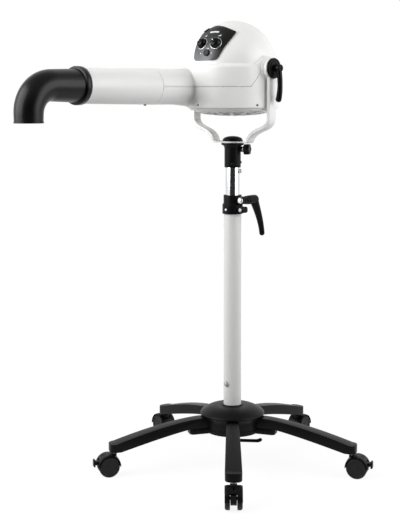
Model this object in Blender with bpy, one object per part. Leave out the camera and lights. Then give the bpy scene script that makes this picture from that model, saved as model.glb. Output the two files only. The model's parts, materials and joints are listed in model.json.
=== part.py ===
"""Standing blow dryer: blower head in a tilting yoke, telescopic pole, five-star base on casters.

Metres, +Z up. The origin is on the floor under the pole. The nozzle points along -X and the head
tilts about an axis along Y. Every piece is its own closed solid, placed under an empty on its joint.
"""
from math import asin, cos, pi, radians, sin, sqrt, tau

import bmesh
import bpy
from mathutils import Matrix, Vector
from mathutils.geometry import interpolate_bezier

# Fits
GAP = 0.0003            # between pieces that touch
WHEEL_RUN = 0.0010      # between a wheel and the web beside it
FENDER_RUN = 0.0012     # between a wheel and the fender over it

# Casters
WHEEL_D = 0.046
WHEEL_W = 0.0107
WHEEL_STEPS = 24
AXLE_D = 0.007
WEB_W = 0.013           # fork web between the two wheels
WEB_FOOT_R = 0.014      # round lower end of the web, about the axle
FENDER_WALL = 0.0022
TRAIL = 0.0115          # axle ahead of the swivel axis
STEM_D = 0.011
STEM_IN_HOOD = 0.0165
STEM_IN_ARM = 0.0135
STEM_WALL = 0.0017      # hood boss round the stem
NECK = 0.0043           # bare stem between hood and arm
PEDAL_OUT = 0.0200      # pedal pivot, ahead of the axle
PEDAL_UP = 0.0090       # pedal pivot, above the axle
PEDAL_EYE_R = 0.0040
PEDAL_W = 0.0125
PEDAL_REACH = 0.0115    # pivot to the tab
PEDAL_TAB_T = 0.0047
PEDAL_TAB_H = 0.017
PEDAL_SWING = 0.010     # room above the pivot in the hood

# Base
ARM_COUNT = 5
FIRST_ARM = radians(220.9)
ARM_TIP_R = 0.286
STEM_INSET = 0.0095     # swivel axis inside the arm's tip
ARM_ROOT_R = 0.032
ARM_ROOT_W = 0.028
ARM_TIP_W = 0.036
ARM_TIP_H = 0.018
ARM_ROOT_H = 0.0235
ARM_RISE = 0.0415       # top of the root above the top of the tip
ARM_CHAMFER = 0.004
ARM_TIP_ROUND = 0.012   # corner radius of the tip, seen from above
ARM_STATIONS = 7
HUB_R = 0.0734
HUB_SKIRT_R = 0.0625
HUB_RIM_H = 0.0075
HUB_CROWN = 0.0215      # rise from rim to pole
LOBE_R = 0.103
LOBE_W = 0.030
LOBE_WAIST_R = 0.0615
HUB_PLATE_T = 0.0115
POST_H = 0.115          # spigot inside the foot of the pole
LOCK_STUD_D = 0.010
LOCK_STUD_L = 0.016
LOCK_EYE_R = 0.009
LOCK_DROP = 0.0225      # bar under the hub plate
LOCK_BAR_R = 0.0034
LOCK_BAR_L = 0.064
LOCK_KNOB_R = 0.0042
LOCK_AZIMUTH = radians(-48)

# Pole
TUBE_D = 0.040
TUBE_WALL = 0.002
TUBE_L = 0.4992
CHROME_D = 0.032
CHROME_WALL = 0.0016
CHROME_L = 0.446
CHROME_SHOWN = 0.062    # bare chrome between clamp and swivel collar
POLE_BOLT_UP = 0.0965   # above the foot of the tube
BOLT_D = 0.006
BOLT_HEAD_R = 0.006
BOLT_HEAD_T = 0.0045
BUSH_L = 0.040
BUSH_LIP = 0.002
CLAMP_GRIP = 0.0177     # length of white tube in the clamp
CLAMP_RING_H = 0.0222   # upper ring, about the chrome tube
CLAMP_LOWER_WALL = 0.0028
CLAMP_UPPER_WALL = 0.0042
CLAMP_SLIT = 0.002
EAR_REACH = 0.038       # ear end from the pole axis
EAR_W = 0.0165
EAR_H = 0.0165
STUD_OUT = 0.0305       # stud axis from the pole axis
STUD_D = 0.008
STUD_HEAD_R = 0.0085
STUD_HEAD_T = 0.0045
LEVER_HUB_R = 0.0100
CLAMP_HUB_L = 0.0400
CLAMP_LEVER_DROP = 0.0765
CLAMP_LEVER_LEAN = 0.029
STOP_DROP = 0.0085      # stop screw under the swivel collar
STOP_D = 0.0045
STOP_HEAD_R = 0.0045
STOP_HEAD_T = 0.0050

# Swivel
COLLAR_H = 0.055
COLLAR_WALL = 0.0022
COLLAR_SOCKET = 0.033   # depth of the chrome tube in the collar
COLLAR_FLANGE_R = 0.0255
COLLAR_FLANGE_H = 0.0040
COLLAR_FLARE_H = 0.0120
SPINDLE_D = 0.016
SPINDLE_L = 0.038
SPINDLE_NECK_D = 0.012
SPINDLE_HEAD_R = 0.010
SPINDLE_HEAD_T = 0.0032
KNOB_AZIMUTH = radians(-68)
KNOB_DROP = 0.014       # knob axis under the collar's top
KNOB_BOSS_R = 0.006
KNOB_BOSS_OUT = 0.0275  # boss end from the pole axis
KNOB_R = 0.0118
KNOB_LOBE = 0.0012
KNOB_LOBES = 6
KNOB_T = 0.0120
KNOB_SCREW_D = 0.006

# Yoke
YOKE_W = 0.0165
YOKE_T = 0.008
YOKE_PLATE_T = 0.0036
YOKE_PLATE_R = 0.023
YOKE_RISE = 0.1615      # tilt axis above the yoke plate
YOKE_BEND = 0.055       # start of the bend above the yoke plate
YOKE_FOOT = 0.052
EYE_R = 0.0230
EYE_T = 0.0086
CAP_R = 0.0232
CAP_H = 0.0115
CAP_ROOM = 0.0045       # cavity above the spindle head's seat
TILT_STUD_D = 0.010
TILT_STUD_IN = 0.0056   # depth in the head's boss
TILT_DISC_R = 0.0225
TILT_DISC_T = 0.0067
TILT_HUB_R = 0.0085
TILT_HUB_L = 0.0160
TILT_LEVER_DROP = 0.068
TILT_LEVER_LEAN = 0.001
TILT_LEVER_BOW = 0.006
FAR_DISC_R = 0.0165
FAR_DISC_T = 0.0045
FAR_HEAD_R = 0.0090
FAR_HEAD_T = 0.0045

# Head
WALL = 0.003
DOME_STEP = 0.0045      # ledge between dome and drum
DOME_UP = 0.0105        # dome centre above the tilt axis
DRUM_R = 0.102
SHOULDER_UP = 0.0070    # foot of the dome above the tilt axis
DRUM_DROP = 0.088       # drum bottom under the tilt axis
SEAM_DROP = 0.040       # seam and nozzle axis under the tilt axis
BOSS_R = 0.0240
BOSS_PROUD = 0.0038
INTAKE_LEDGE = 0.018    # intake's edge inside the drum's
GRILLE_INSET = 0.005    # grille's edge inside the drum's
GRILLE_RIM_H = 0.0042
GRILLE_BELLY = 0.0120
GRILLE_T = 0.0025
GRILLE_SLOTS = 20
SLOT_W = 0.0068
MOTOR_R = 0.038
MOTOR_H = 0.052
MOTOR_PLATE_T = 0.003
SHAFT_D = 0.008
SHAFT_IN_MOTOR = 0.020
IMPELLER_RUN = 0.009    # impeller's edge inside the intake's
IMPELLER_EYE_R = 0.050
IMPELLER_H = 0.062
IMPELLER_DROP = 0.013   # backplate under the tilt axis
BLADES = 12
BLADE_T = 0.002
BACKPLATE_T = 0.003
GLAND_R = 0.008
GLAND_OUT = 0.016
GLAND_SHANK_D = 0.011
GLAND_DROP = 0.062      # gland under the tilt axis

# Nozzle
SPIGOT_R = 0.0390
SPIGOT_SWELL = 0.0050   # taller half height where it leaves the drum
SPIGOT_OVER = 0.0010    # spigot's far side past the drum's
SPIGOT_END = 0.1970     # from the pole axis
NOZZLE_L = 0.2140
NOZZLE_TAPER = 0.0025   # radius lost along the tube
NOZZLE_WALL = 0.0025
ELBOW_GRIP = 0.0100     # nozzle end inside the elbow
ELBOW_FLANGE_STEP = 0.0030   # flange radius over the nozzle's end
ELBOW_FLANGE_T = 0.0125
ELBOW_LEG_STEP = 0.0020 # leg radius under the nozzle's end
ELBOW_TAPER = 0.0060    # radius lost from leg to outlet
ELBOW_WALL = 0.003
ELBOW_LEG = 0.0770      # flange face to the start of the bend
ELBOW_BEND = 0.0550
ELBOW_DROP = 0.0190     # straight outlet under the bend
ELBOW_LIP = 0.0010
HEATER_L = 0.115
HEATER_BOARD_T = 0.0014
HEATER_FREE = 0.0005

# Controls
PANEL_T = 0.0020
PANEL_OFF = 0.0006      # panel's back from the dome
PANEL_LOW = 0.0170      # above the tilt axis
PANEL_HIGH = 0.0945
PANEL_TIP_FALL = 0.0130
PANEL_ANGLES = (18.0, 20.0, 12.0)   # half angle in degrees: at the foot, then its rise and its curl
CONTROL_UP = 0.0530     # knobs above the tilt axis
CONTROL_PITCH = 0.039
CONTROL_R = 0.0115
CONTROL_H = 0.0100
CONTROL_TURN = radians(4.7)   # controls turned from the panel's middle to -Y
CONTROL_SHAFT_D = 0.006
BUTTON_UP = 0.0330
BUTTON_R = 0.0074
BUTTON_H = 0.0040
BUTTON_STEM_D = 0.006
BUTTON_STEM_L = 0.012
BOARD_IN = 0.0175       # board face under the dome's skin
BOARD_W = 0.050
BOARD_H = 0.036
BOARD_T = 0.0016

# Heights above the floor, from the wheels up
AXLE_Z = WHEEL_D / 2
FENDER_R = WHEEL_D / 2 + FENDER_RUN + FENDER_WALL
HOOD_TOP = AXLE_Z + FENDER_R
TIP_BOTTOM = HOOD_TOP + NECK
TIP_TOP = TIP_BOTTOM + ARM_TIP_H
ARM_TOP = TIP_TOP + ARM_RISE
ARM_BOTTOM = ARM_TOP - ARM_ROOT_H
HUB_PLATE_TOP = ARM_BOTTOM - GAP
HUB_PLATE_LOW = HUB_PLATE_TOP - HUB_PLATE_T
HUB_RIM_LOW = ARM_TOP + 3 * GAP
HUB_RIM_TOP = HUB_RIM_LOW + HUB_RIM_H
TUBE_TOP = ARM_BOTTOM + TUBE_L
CLAMP_LOW = TUBE_TOP - CLAMP_GRIP
CLAMP_STEP = TUBE_TOP + BUSH_LIP + 2 * GAP
CLAMP_TOP = CLAMP_STEP + CLAMP_RING_H
COLLAR_LOW = CLAMP_TOP + CHROME_SHOWN
COLLAR_TOP = COLLAR_LOW + COLLAR_H
CHROME_TOP = COLLAR_LOW + COLLAR_SOCKET - GAP
PLATE_Z = COLLAR_TOP + GAP + YOKE_PLATE_T / 2
PLATE_TOP = PLATE_Z + YOKE_PLATE_T / 2
TILT_Z = PLATE_TOP + YOKE_RISE
SEAM_Z = TILT_Z - SEAM_DROP
DOME_Z = TILT_Z + DOME_UP
DRUM_LOW = TILT_Z - DRUM_DROP

# Radii that follow others
STEM_R = ARM_TIP_R - STEM_INSET
DOME_R = DRUM_R - DOME_STEP
INTAKE_R = DRUM_R - INTAKE_LEDGE
GRILLE_R = DRUM_R - GRILLE_INSET
IMPELLER_R = INTAKE_R - IMPELLER_RUN
BOARD_AT = DOME_R - BOARD_IN
SPIGOT_FLARE = SPIGOT_R + SPIGOT_SWELL
NOZZLE_END_R = SPIGOT_R - NOZZLE_TAPER
ELBOW_FLANGE_R = NOZZLE_END_R + ELBOW_FLANGE_STEP
ELBOW_LEG_R = NOZZLE_END_R - ELBOW_LEG_STEP
ELBOW_OUT_R = ELBOW_LEG_R - ELBOW_TAPER

# Places across the head
BOSS_Y = DRUM_R + BOSS_PROUD
YOKE_Y = BOSS_Y + GAP + EYE_T / 2
DISC_Y = YOKE_Y + EYE_T / 2 + GAP
TILT_HUB_Y = DISC_Y + TILT_DISC_T + GAP
FAR_HEAD_Y = DISC_Y + FAR_DISC_T + GAP
NOZZLE_Y = DRUM_R + SPIGOT_OVER - SPIGOT_R
NOZZLE_TIP = SPIGOT_END + GAP + NOZZLE_L
FLANGE_X = NOZZLE_TIP - ELBOW_GRIP
WHEEL_IN = WEB_W / 2 + WHEEL_RUN
HOOD_W = 2 * (WHEEL_IN + WHEEL_W) + 2 * GAP

ALONG_X = Matrix.Rotation(pi / 2, 4, "Y")
ALONG_MINUS_X = Matrix.Rotation(-pi / 2, 4, "Y")
ALONG_Y = Matrix.Rotation(-pi / 2, 4, "X")
ALONG_MINUS_Y = Matrix.Rotation(pi / 2, 4, "X")


def clear_scene():
    for obj in list(bpy.data.objects):
        bpy.data.objects.remove(obj, do_unlink=True)


def finish(name, colour, roughness, metallic=0.0):
    """A Principled material from a linear colour."""
    made = bpy.data.materials.new(name)
    made.use_nodes = True
    shader = made.node_tree.nodes["Principled BSDF"]
    shader.inputs["Base Color"].default_value = (*colour, 1.0)
    shader.inputs["Roughness"].default_value = roughness
    shader.inputs["Metallic"].default_value = metallic
    return made


def move(x=0.0, y=0.0, z=0.0):
    return Matrix.Translation((x, y, z))


def aim(direction):
    """Turn +Z to a direction."""
    return Vector((0, 0, 1)).rotation_difference(Vector(direction)).to_matrix().to_4x4()


def arc(centre, radius, start, end, steps):
    """Points on a circle in a plane, from one angle to another in degrees."""
    points = []
    for step in range(steps + 1):
        angle = radians(start + (end - start) * step / steps)
        points.append((centre[0] + radius * cos(angle), centre[1] + radius * sin(angle)))
    return points


def turned(profile, steps, ring=False, place=Matrix()):
    """Spin (radius, height) points about Z. A ring's profile closes on itself."""
    bm = bmesh.new()
    verts = [bm.verts.new((radius, 0.0, height)) for radius, height in profile]
    pairs = list(zip(verts, verts[1:]))
    if ring:
        pairs.append((verts[-1], verts[0]))
    edges = [bm.edges.new(pair) for pair in pairs]
    bmesh.ops.spin(bm, geom=verts + edges, cent=(0, 0, 0), axis=(0, 0, 1), angle=tau, steps=steps,
                   use_merge=True)
    bmesh.ops.remove_doubles(bm, verts=bm.verts, dist=1e-6)
    bm.transform(place)
    return bm


def rod(radius, low, high, steps=16, place=Matrix()):
    return turned([(0, high), (radius, high), (radius, low), (0, low)], steps, place=place)


def prism(outline, low, high, place=Matrix()):
    """Extrude a plane outline along Z."""
    bm = bmesh.new()
    face = bm.faces.new([bm.verts.new((x, y, low)) for x, y in outline])
    grown = bmesh.ops.extrude_face_region(bm, geom=[face])
    verts = [item for item in grown["geom"] if isinstance(item, bmesh.types.BMVert)]
    bmesh.ops.translate(bm, verts=verts, vec=(0, 0, high - low))
    bm.transform(place)
    return bm


def block(low, high, place=Matrix()):
    """A box between two corners."""
    bm = bmesh.new()
    bmesh.ops.create_cube(bm, size=1.0)
    low, high = Vector(low), Vector(high)
    bmesh.ops.scale(bm, vec=high - low, verts=bm.verts)
    bmesh.ops.translate(bm, vec=(low + high) / 2, verts=bm.verts)
    bm.transform(place)
    return bm


def loft(rings, loop=False):
    """Extrude one ring of points through the others, then cap both ends or join them."""
    bm = bmesh.new()
    verts = [bm.verts.new(point) for point in rings[0]]
    edges = [bm.edges.new((verts[i - 1], verts[i])) for i in range(len(verts))]
    first = edges
    for ring in rings[1:]:
        grown = bmesh.ops.extrude_edge_only(bm, edges=edges)["geom"]
        fresh = {item for item in grown if isinstance(item, bmesh.types.BMVert)}
        edges = [item for item in grown if isinstance(item, bmesh.types.BMEdge) and set(item.verts) <= fresh]
        ahead = []
        for vert in verts:
            ahead.append(next(e.other_vert(vert) for e in vert.link_edges if e.other_vert(vert) in fresh))
        for vert, point in zip(ahead, ring):
            vert.co = point
        verts = ahead
    if loop:
        bmesh.ops.bridge_loops(bm, edges=first + edges)
    else:
        bmesh.ops.contextual_create(bm, geom=first)
        bmesh.ops.contextual_create(bm, geom=edges)
    return bm


def gather(whole, part):
    """Add one bmesh to another."""
    carrier = bpy.data.meshes.new("carrier")
    part.to_mesh(carrier)
    part.free()
    whole.from_mesh(carrier)
    bpy.data.meshes.remove(carrier)


def tube_rings(path, radii, steps, side=Vector((0, 1, 0))):
    """Rings square to a path that stays in the plane across side; a radius may be (side, across)."""
    rings = []
    for index, centre in enumerate(path):
        before = path[max(index - 1, 0)]
        after = path[min(index + 1, len(path) - 1)]
        across = (Vector(after) - Vector(before)).normalized().cross(side)
        wide, high = radii[index] if isinstance(radii[index], tuple) else (radii[index], radii[index])
        ring = []
        for step in range(steps):
            angle = tau * step / steps
            ring.append(Vector(centre) + side * wide * cos(angle) + across * high * sin(angle))
        rings.append(ring)
    return rings


def solid(name, bm, coat):
    """A new object from a bmesh, with its faces pointing out."""
    bmesh.ops.recalc_face_normals(bm, faces=bm.faces)
    mesh = bpy.data.meshes.new(name)
    bm.to_mesh(mesh)
    bm.free()
    mesh.materials.append(coat)
    obj = bpy.data.objects.new(name, mesh)
    bpy.context.collection.objects.link(obj)
    return obj


def combine(obj, bm, operation):
    """Join, cut or keep: a Boolean with a second shape, taken into the mesh."""
    tool = solid(obj.name + "_tool", bm, obj.data.materials[0])
    change = obj.modifiers.new(operation, "BOOLEAN")
    change.operation = operation
    change.solver = "EXACT"
    change.object = tool
    graph = bpy.context.evaluated_depsgraph_get()
    obj.data = bpy.data.meshes.new_from_object(obj.evaluated_get(graph))
    obj.modifiers.clear()
    bpy.data.objects.remove(tool, do_unlink=True)
    return obj


def join(obj, bm):
    return combine(obj, bm, "UNION")


def cut(obj, bm):
    return combine(obj, bm, "DIFFERENCE")


def keep(obj, bm):
    return combine(obj, bm, "INTERSECT")


def axis(name, place, parent=None):
    """An empty on a joint's axis, with its world place kept for what hangs on it."""
    empty = bpy.data.objects.new(name, None)
    bpy.context.collection.objects.link(empty)
    empty.parent = parent
    empty["place"] = [value for row in place for value in row]
    empty.matrix_basis = world_of(parent).inverted() @ place
    return empty


def world_of(empty):
    if empty is None:
        return Matrix()
    flat = list(empty["place"])
    return Matrix([flat[row * 4:row * 4 + 4] for row in range(4)])


def seat(obj, empty):
    """Hang an object, modelled in world places, on an empty, with its origin on the axis."""
    obj.data.transform(world_of(empty).inverted())
    obj.parent = empty
    obj.data.shade_smooth()
    obj.data.set_sharp_from_angle(angle=radians(35))
    return obj


def arm_angle(index):
    return FIRST_ARM + tau * index / ARM_COUNT


clear_scene()
WHITE = finish("white_abs", (0.82, 0.83, 0.84), 0.32)
WHITE_STEEL = finish("white_coated_steel", (0.80, 0.80, 0.80), 0.35)
BLACK = finish("black_nylon", (0.018, 0.018, 0.019), 0.5)
BLACK_SOFT = finish("black_rubbery_plastic", (0.012, 0.012, 0.013), 0.6)
PANEL_GREY = finish("panel_film", (0.035, 0.036, 0.038), 0.35)
CHROME = finish("chrome", (0.75, 0.75, 0.76), 0.08, 1.0)
STEEL = finish("zinc_steel", (0.55, 0.55, 0.56), 0.35, 1.0)
MICA = finish("mica_board", (0.45, 0.38, 0.27), 0.6)
BOARD_GREEN = finish("circuit_board", (0.02, 0.10, 0.04), 0.5)

# Axes of the joints
BASE = axis("base_axis", Matrix())
SLIDE = axis("slide_axis", move(z=CLAMP_TOP), BASE)
SWIVEL = axis("swivel_axis", move(z=COLLAR_TOP), SLIDE)
TILT = axis("tilt_axis", move(z=TILT_Z), SWIVEL)
CLAMP_Z = CLAMP_STEP + CLAMP_RING_H / 2
CLAMP_AXIS = axis("clamp_lever_axis", move(y=-STUD_OUT, z=CLAMP_Z), BASE)
LOCK_AXIS = axis("lock_lever_axis", move(z=HUB_PLATE_LOW), BASE)
KNOB_Z = COLLAR_TOP - KNOB_DROP
KNOB_AXIS = axis("swivel_knob_axis", move(z=KNOB_Z) @ Matrix.Rotation(KNOB_AZIMUTH, 4, "Z"), SLIDE)
TILT_LEVER_AXIS = axis("tilt_lever_axis", move(y=-TILT_HUB_Y, z=TILT_Z), TILT)
ELBOW_AXIS = axis("elbow_axis", move(-FLANGE_X, NOZZLE_Y, SEAM_Z), TILT)
IMPELLER_AXIS = axis("impeller_axis", move(z=TILT_Z - IMPELLER_DROP), TILT)


# Casters: one set of meshes, hung five times, each local to its swivel axis with +X outward
def wheel_mesh():
    outer = WHEEL_D / 2 / cos(pi / WHEEL_STEPS)
    edge = 0.0024
    out = WHEEL_IN + WHEEL_W
    half = [(0, out), (outer - 2 * edge, out), (outer, out - edge), (outer, WHEEL_IN), (AXLE_D / 2, WHEEL_IN)]
    profile = half + [(radius, -height) for radius, height in reversed(half)]
    flat_down = Matrix.Rotation(pi / WHEEL_STEPS, 4, "Z")
    return turned(profile, WHEEL_STEPS, place=move(TRAIL, 0, AXLE_Z) @ ALONG_Y @ flat_down)


def hood_object(name):
    across = move(TRAIL, 0, AXLE_Z) @ ALONG_MINUS_Y
    web_outline = arc((0, 0), FENDER_R - FENDER_WALL / 2, 0, 180, 10) + arc((0, 0), WEB_FOOT_R, 180, 360, 6)
    fender = arc((0, 0), FENDER_R, -2, 182, 14) + arc((0, 0), FENDER_R - FENDER_WALL, 182, -2, 14)
    hood = solid(name, prism(web_outline, -WEB_W / 2, WEB_W / 2, across), BLACK)
    join(hood, prism(fender, -HOOD_W / 2, HOOD_W / 2, across))
    stem_low = HOOD_TOP - STEM_IN_HOOD
    join(hood, rod(STEM_D / 2 + STEM_WALL, stem_low, HOOD_TOP, 12))
    cut(hood, rod(STEM_D / 2 + GAP, stem_low - GAP, HOOD_TOP + NECK, 12))
    cut(hood, rod(AXLE_D / 2 + GAP, -WEB_W, WEB_W, 12, across))
    pivot_x = TRAIL + PEDAL_OUT
    pivot_z = AXLE_Z + PEDAL_UP
    side = PEDAL_W / 2 + WHEEL_RUN
    cut(hood, block((pivot_x, -side, pivot_z - PEDAL_TAB_H),
                    (pivot_x + FENDER_R, side, pivot_z + PEDAL_SWING)))
    cut(hood, rod(PEDAL_EYE_R + GAP, -WEB_W, WEB_W, 12, move(pivot_x, 0, pivot_z) @ ALONG_Y))
    return hood


def pedal_mesh():
    half_bar = PEDAL_EYE_R * sin(radians(50))
    near, far = PEDAL_REACH, PEDAL_REACH + PEDAL_TAB_T
    low = -PEDAL_UP
    high = low + PEDAL_TAB_H
    outline = arc((0, 0), PEDAL_EYE_R, 50, 310, 8)
    outline += [(near, -half_bar), (near, low), (far, low), (far, high), (near, high), (near, half_bar)]
    return prism(outline, -PEDAL_W / 2, PEDAL_W / 2, ALONG_MINUS_Y)


def stem_mesh():
    low = HOOD_TOP - STEM_IN_HOOD
    high = TIP_BOTTOM + STEM_IN_ARM
    edge = 0.001
    radius = STEM_D / 2
    return turned([(0, high), (radius - edge, high), (radius, high - edge), (radius, low), (0, low)], 12)


def hang_casters():
    for index in range(ARM_COUNT):
        number = index + 1
        place = Matrix.Rotation(arm_angle(index), 4, "Z") @ move(x=STEM_R)
        swivel = axis(f"caster_{number}_axis", place, BASE)
        wheel_axis = axis(f"wheels_{number}_axis", place @ move(TRAIL, 0, AXLE_Z), swivel)
        pedal_place = place @ move(TRAIL + PEDAL_OUT, 0, AXLE_Z + PEDAL_UP)
        pedal_axis = axis(f"pedal_{number}_axis", pedal_place, swivel)
        stem = solid(f"caster_{number}_stem", stem_mesh(), STEEL)
        hood = hood_object(f"caster_{number}_hood")
        wheels = solid(f"caster_{number}_wheels", wheel_mesh(), BLACK_SOFT)
        pedal = solid(f"caster_{number}_brake_pedal", pedal_mesh(), BLACK)
        for obj in (stem, hood, wheels):
            obj.data.transform(place)
        pedal.data.transform(pedal_place)
        seat(stem, swivel)
        seat(hood, swivel)
        seat(wheels, wheel_axis)
        seat(pedal, pedal_axis)


# Base
def arm_section(reach, width, top, bottom):
    """One cross section of an arm: flat sides, chamfered along the top."""
    half = width / 2
    shoulder = min(ARM_CHAMFER, half * 0.6)
    return [Vector((reach, y, z)) for y, z in (
        (-half, bottom), (half, bottom), (half, top - ARM_CHAMFER), (half - shoulder, top),
        (shoulder - half, top), (-half, top - ARM_CHAMFER))]


def arm_rings():
    straight = LOBE_R + 2 * GAP
    tip_flat = STEM_R - STEM_D
    tip_round = ARM_TIP_R - ARM_TIP_ROUND
    reaches = [ARM_ROOT_R, HUB_R, straight]
    span = tip_round - straight
    reaches += [straight + span * (i + 1) / ARM_STATIONS for i in range(ARM_STATIONS)]
    rings = []
    for reach in reaches:
        along = min(max((reach - HUB_R) / (tip_round - HUB_R), 0.0), 1.0)
        top = TIP_TOP + ARM_RISE * (1 - along ** 1.5)
        sink = min(max((reach - straight) / (tip_flat - straight), 0.0), 1.0)
        bottom = ARM_BOTTOM - (ARM_BOTTOM - TIP_BOTTOM) * sink ** 1.15
        rings.append(arm_section(reach, ARM_ROOT_W + (ARM_TIP_W - ARM_ROOT_W) * along, top, bottom))
    for degrees, fall in ((35, 0.0), (65, 0.15), (90, 0.5)):
        turn = radians(degrees)
        reach = tip_round + ARM_TIP_ROUND * sin(turn)
        width = ARM_TIP_W - 2 * ARM_TIP_ROUND * (1 - cos(turn))
        rings.append(arm_section(reach, width, TIP_TOP - ARM_CHAMFER * fall, TIP_BOTTOM))
    return rings


def build_arms():
    for index in range(ARM_COUNT):
        arm = solid(f"arm_{index + 1}", loft(arm_rings()), BLACK)
        socket = rod(STEM_D / 2 + GAP, TIP_BOTTOM - NECK, TIP_BOTTOM + STEM_IN_ARM + GAP, 12, move(x=STEM_R))
        cut(arm, socket)
        arm.data.transform(Matrix.Rotation(arm_angle(index), 4, "Z"))
        seat(arm, BASE)


def build_hub():
    bore = TUBE_D / 2 + GAP
    edge = 0.002
    inner = bore + 3 * edge
    shoulder = HUB_RIM_TOP + 1.5 * edge
    crown = HUB_RIM_TOP + HUB_CROWN
    profile = [(bore, crown), (inner, crown)]
    for share in (0.3, 0.55, 0.8, 1.0):
        height = shoulder + (crown - shoulder) * (1 - share ** 2)
        profile.append((inner + (HUB_SKIRT_R - inner) * share, height))
    profile += [(HUB_R - edge, HUB_RIM_TOP), (HUB_R, HUB_RIM_TOP - edge), (HUB_R, HUB_RIM_LOW),
                (HUB_SKIRT_R, HUB_RIM_LOW), (HUB_SKIRT_R, ARM_BOTTOM), (bore, ARM_BOTTOM)]
    hub = solid("hub_cover", turned(profile, 36, ring=True), BLACK)
    half = ARM_ROOT_W / 2 + GAP
    for index in range(ARM_COUNT):
        slot = block((ARM_ROOT_R - GAP, -half, ARM_BOTTOM - HUB_PLATE_T), (HUB_R, half, ARM_TOP + GAP),
                     Matrix.Rotation(arm_angle(index), 4, "Z"))
        cut(hub, slot)
    seat(hub, BASE)


def build_hub_plate():
    half = LOBE_W / 2
    corner = half / 3
    waist = asin(half / LOBE_WAIST_R)
    span = tau / ARM_COUNT - 2 * waist
    finger = [(LOBE_R - corner, -half), (LOBE_R, corner - half), (LOBE_R, half - corner),
              (LOBE_R - corner, half)]
    turns = [waist + span * i / 5 for i in range(6)]
    edge = [(LOBE_WAIST_R * cos(turn), LOBE_WAIST_R * sin(turn)) for turn in turns]
    outline = []
    for index in range(ARM_COUNT):
        turn = Matrix.Rotation(arm_angle(index), 2)
        outline += [tuple(turn @ Vector(point)) for point in finger + edge]
    plate = solid("hub_plate", prism(outline, HUB_PLATE_LOW, HUB_PLATE_TOP), BLACK)
    post_r = TUBE_D / 2 - TUBE_WALL - GAP
    join(plate, rod(post_r, HUB_PLATE_LOW + HUB_PLATE_T / 2, HUB_PLATE_TOP + POST_H, 24))
    cut(plate, rod(LOCK_STUD_D / 2 + GAP, HUB_PLATE_LOW - HUB_PLATE_T, HUB_PLATE_LOW + LOCK_STUD_L + GAP))
    cut(plate, pole_bolt_shape(GAP, False))
    seat(plate, BASE)


def pole_bolt_shape(slack, with_head):
    """The bolt through the foot of the pole, along -X; with slack it is its own hole."""
    tube_r = TUBE_D / 2
    tip = tube_r / 2 - slack
    place = move(z=ARM_BOTTOM + POLE_BOLT_UP) @ ALONG_MINUS_X
    radius = BOLT_D / 2 + slack
    if not with_head:
        return rod(radius, tip, TUBE_D, 12, place)
    seat_out = tube_r + GAP
    profile = [(0, seat_out + BOLT_HEAD_T), (BOLT_HEAD_R, seat_out + BOLT_HEAD_T), (BOLT_HEAD_R, seat_out),
               (radius, seat_out), (radius, tip), (0, tip)]
    return turned(profile, 12, place=place)


def build_lock_lever():
    top = HUB_PLATE_LOW - GAP
    middle = HUB_PLATE_LOW - LOCK_DROP
    eye = [(0, HUB_PLATE_LOW + LOCK_STUD_L), (LOCK_STUD_D / 2, HUB_PLATE_LOW + LOCK_STUD_L),
           (LOCK_STUD_D / 2, top), (LOCK_EYE_R, top), (LOCK_EYE_R, middle - LOCK_KNOB_R),
           (0, middle - LOCK_KNOB_R)]
    lever = solid("pole_lock_lever", turned(eye, 20), BLACK)
    reach = [LOCK_STUD_D / 2, LOCK_BAR_L - 2 * LOCK_KNOB_R, LOCK_BAR_L - LOCK_KNOB_R,
             LOCK_BAR_L + LOCK_KNOB_R / 2, LOCK_BAR_L + LOCK_KNOB_R]
    radii = [LOCK_BAR_R, LOCK_BAR_R, LOCK_KNOB_R, LOCK_KNOB_R, LOCK_BAR_R / 2]
    bar = loft(tube_rings([Vector((x, 0, middle)) for x in reach], radii, 12))
    bar.transform(Matrix.Rotation(LOCK_AZIMUTH, 4, "Z"))
    seat(join(lever, bar), LOCK_AXIS)


# Pole
def build_tubes():
    outer = TUBE_D / 2
    inner = outer - TUBE_WALL
    wall = [(inner, TUBE_TOP), (outer, TUBE_TOP), (outer, ARM_BOTTOM), (inner, ARM_BOTTOM)]
    tube = solid("outer_tube", turned(wall, 32, ring=True), WHITE_STEEL)
    seat(cut(tube, pole_bolt_shape(GAP, False)), BASE)
    seat(solid("pole_bolt", pole_bolt_shape(0.0, True), STEEL), BASE)
    bush_in = CHROME_D / 2 + GAP
    bush_out = inner - GAP
    lip = TUBE_TOP + GAP
    bush = [(bush_in, lip + BUSH_LIP), (outer - GAP, lip + BUSH_LIP), (outer - GAP, lip), (bush_out, lip),
            (bush_out, TUBE_TOP - BUSH_L), (bush_in, TUBE_TOP - BUSH_L)]
    seat(solid("guide_bush", turned(bush, 24, ring=True), BLACK), BASE)
    chrome_r = CHROME_D / 2
    low = CHROME_TOP - CHROME_L
    chrome = [(chrome_r - CHROME_WALL, CHROME_TOP), (chrome_r, CHROME_TOP), (chrome_r, low),
              (chrome_r - CHROME_WALL, low)]
    inner_tube = solid("inner_tube", turned(chrome, 32, ring=True), CHROME)
    seat(cut(inner_tube, stop_screw_shape(GAP, False)), SLIDE)
    seat(solid("stop_screw", stop_screw_shape(0.0, True), STEEL), SLIDE)


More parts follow.
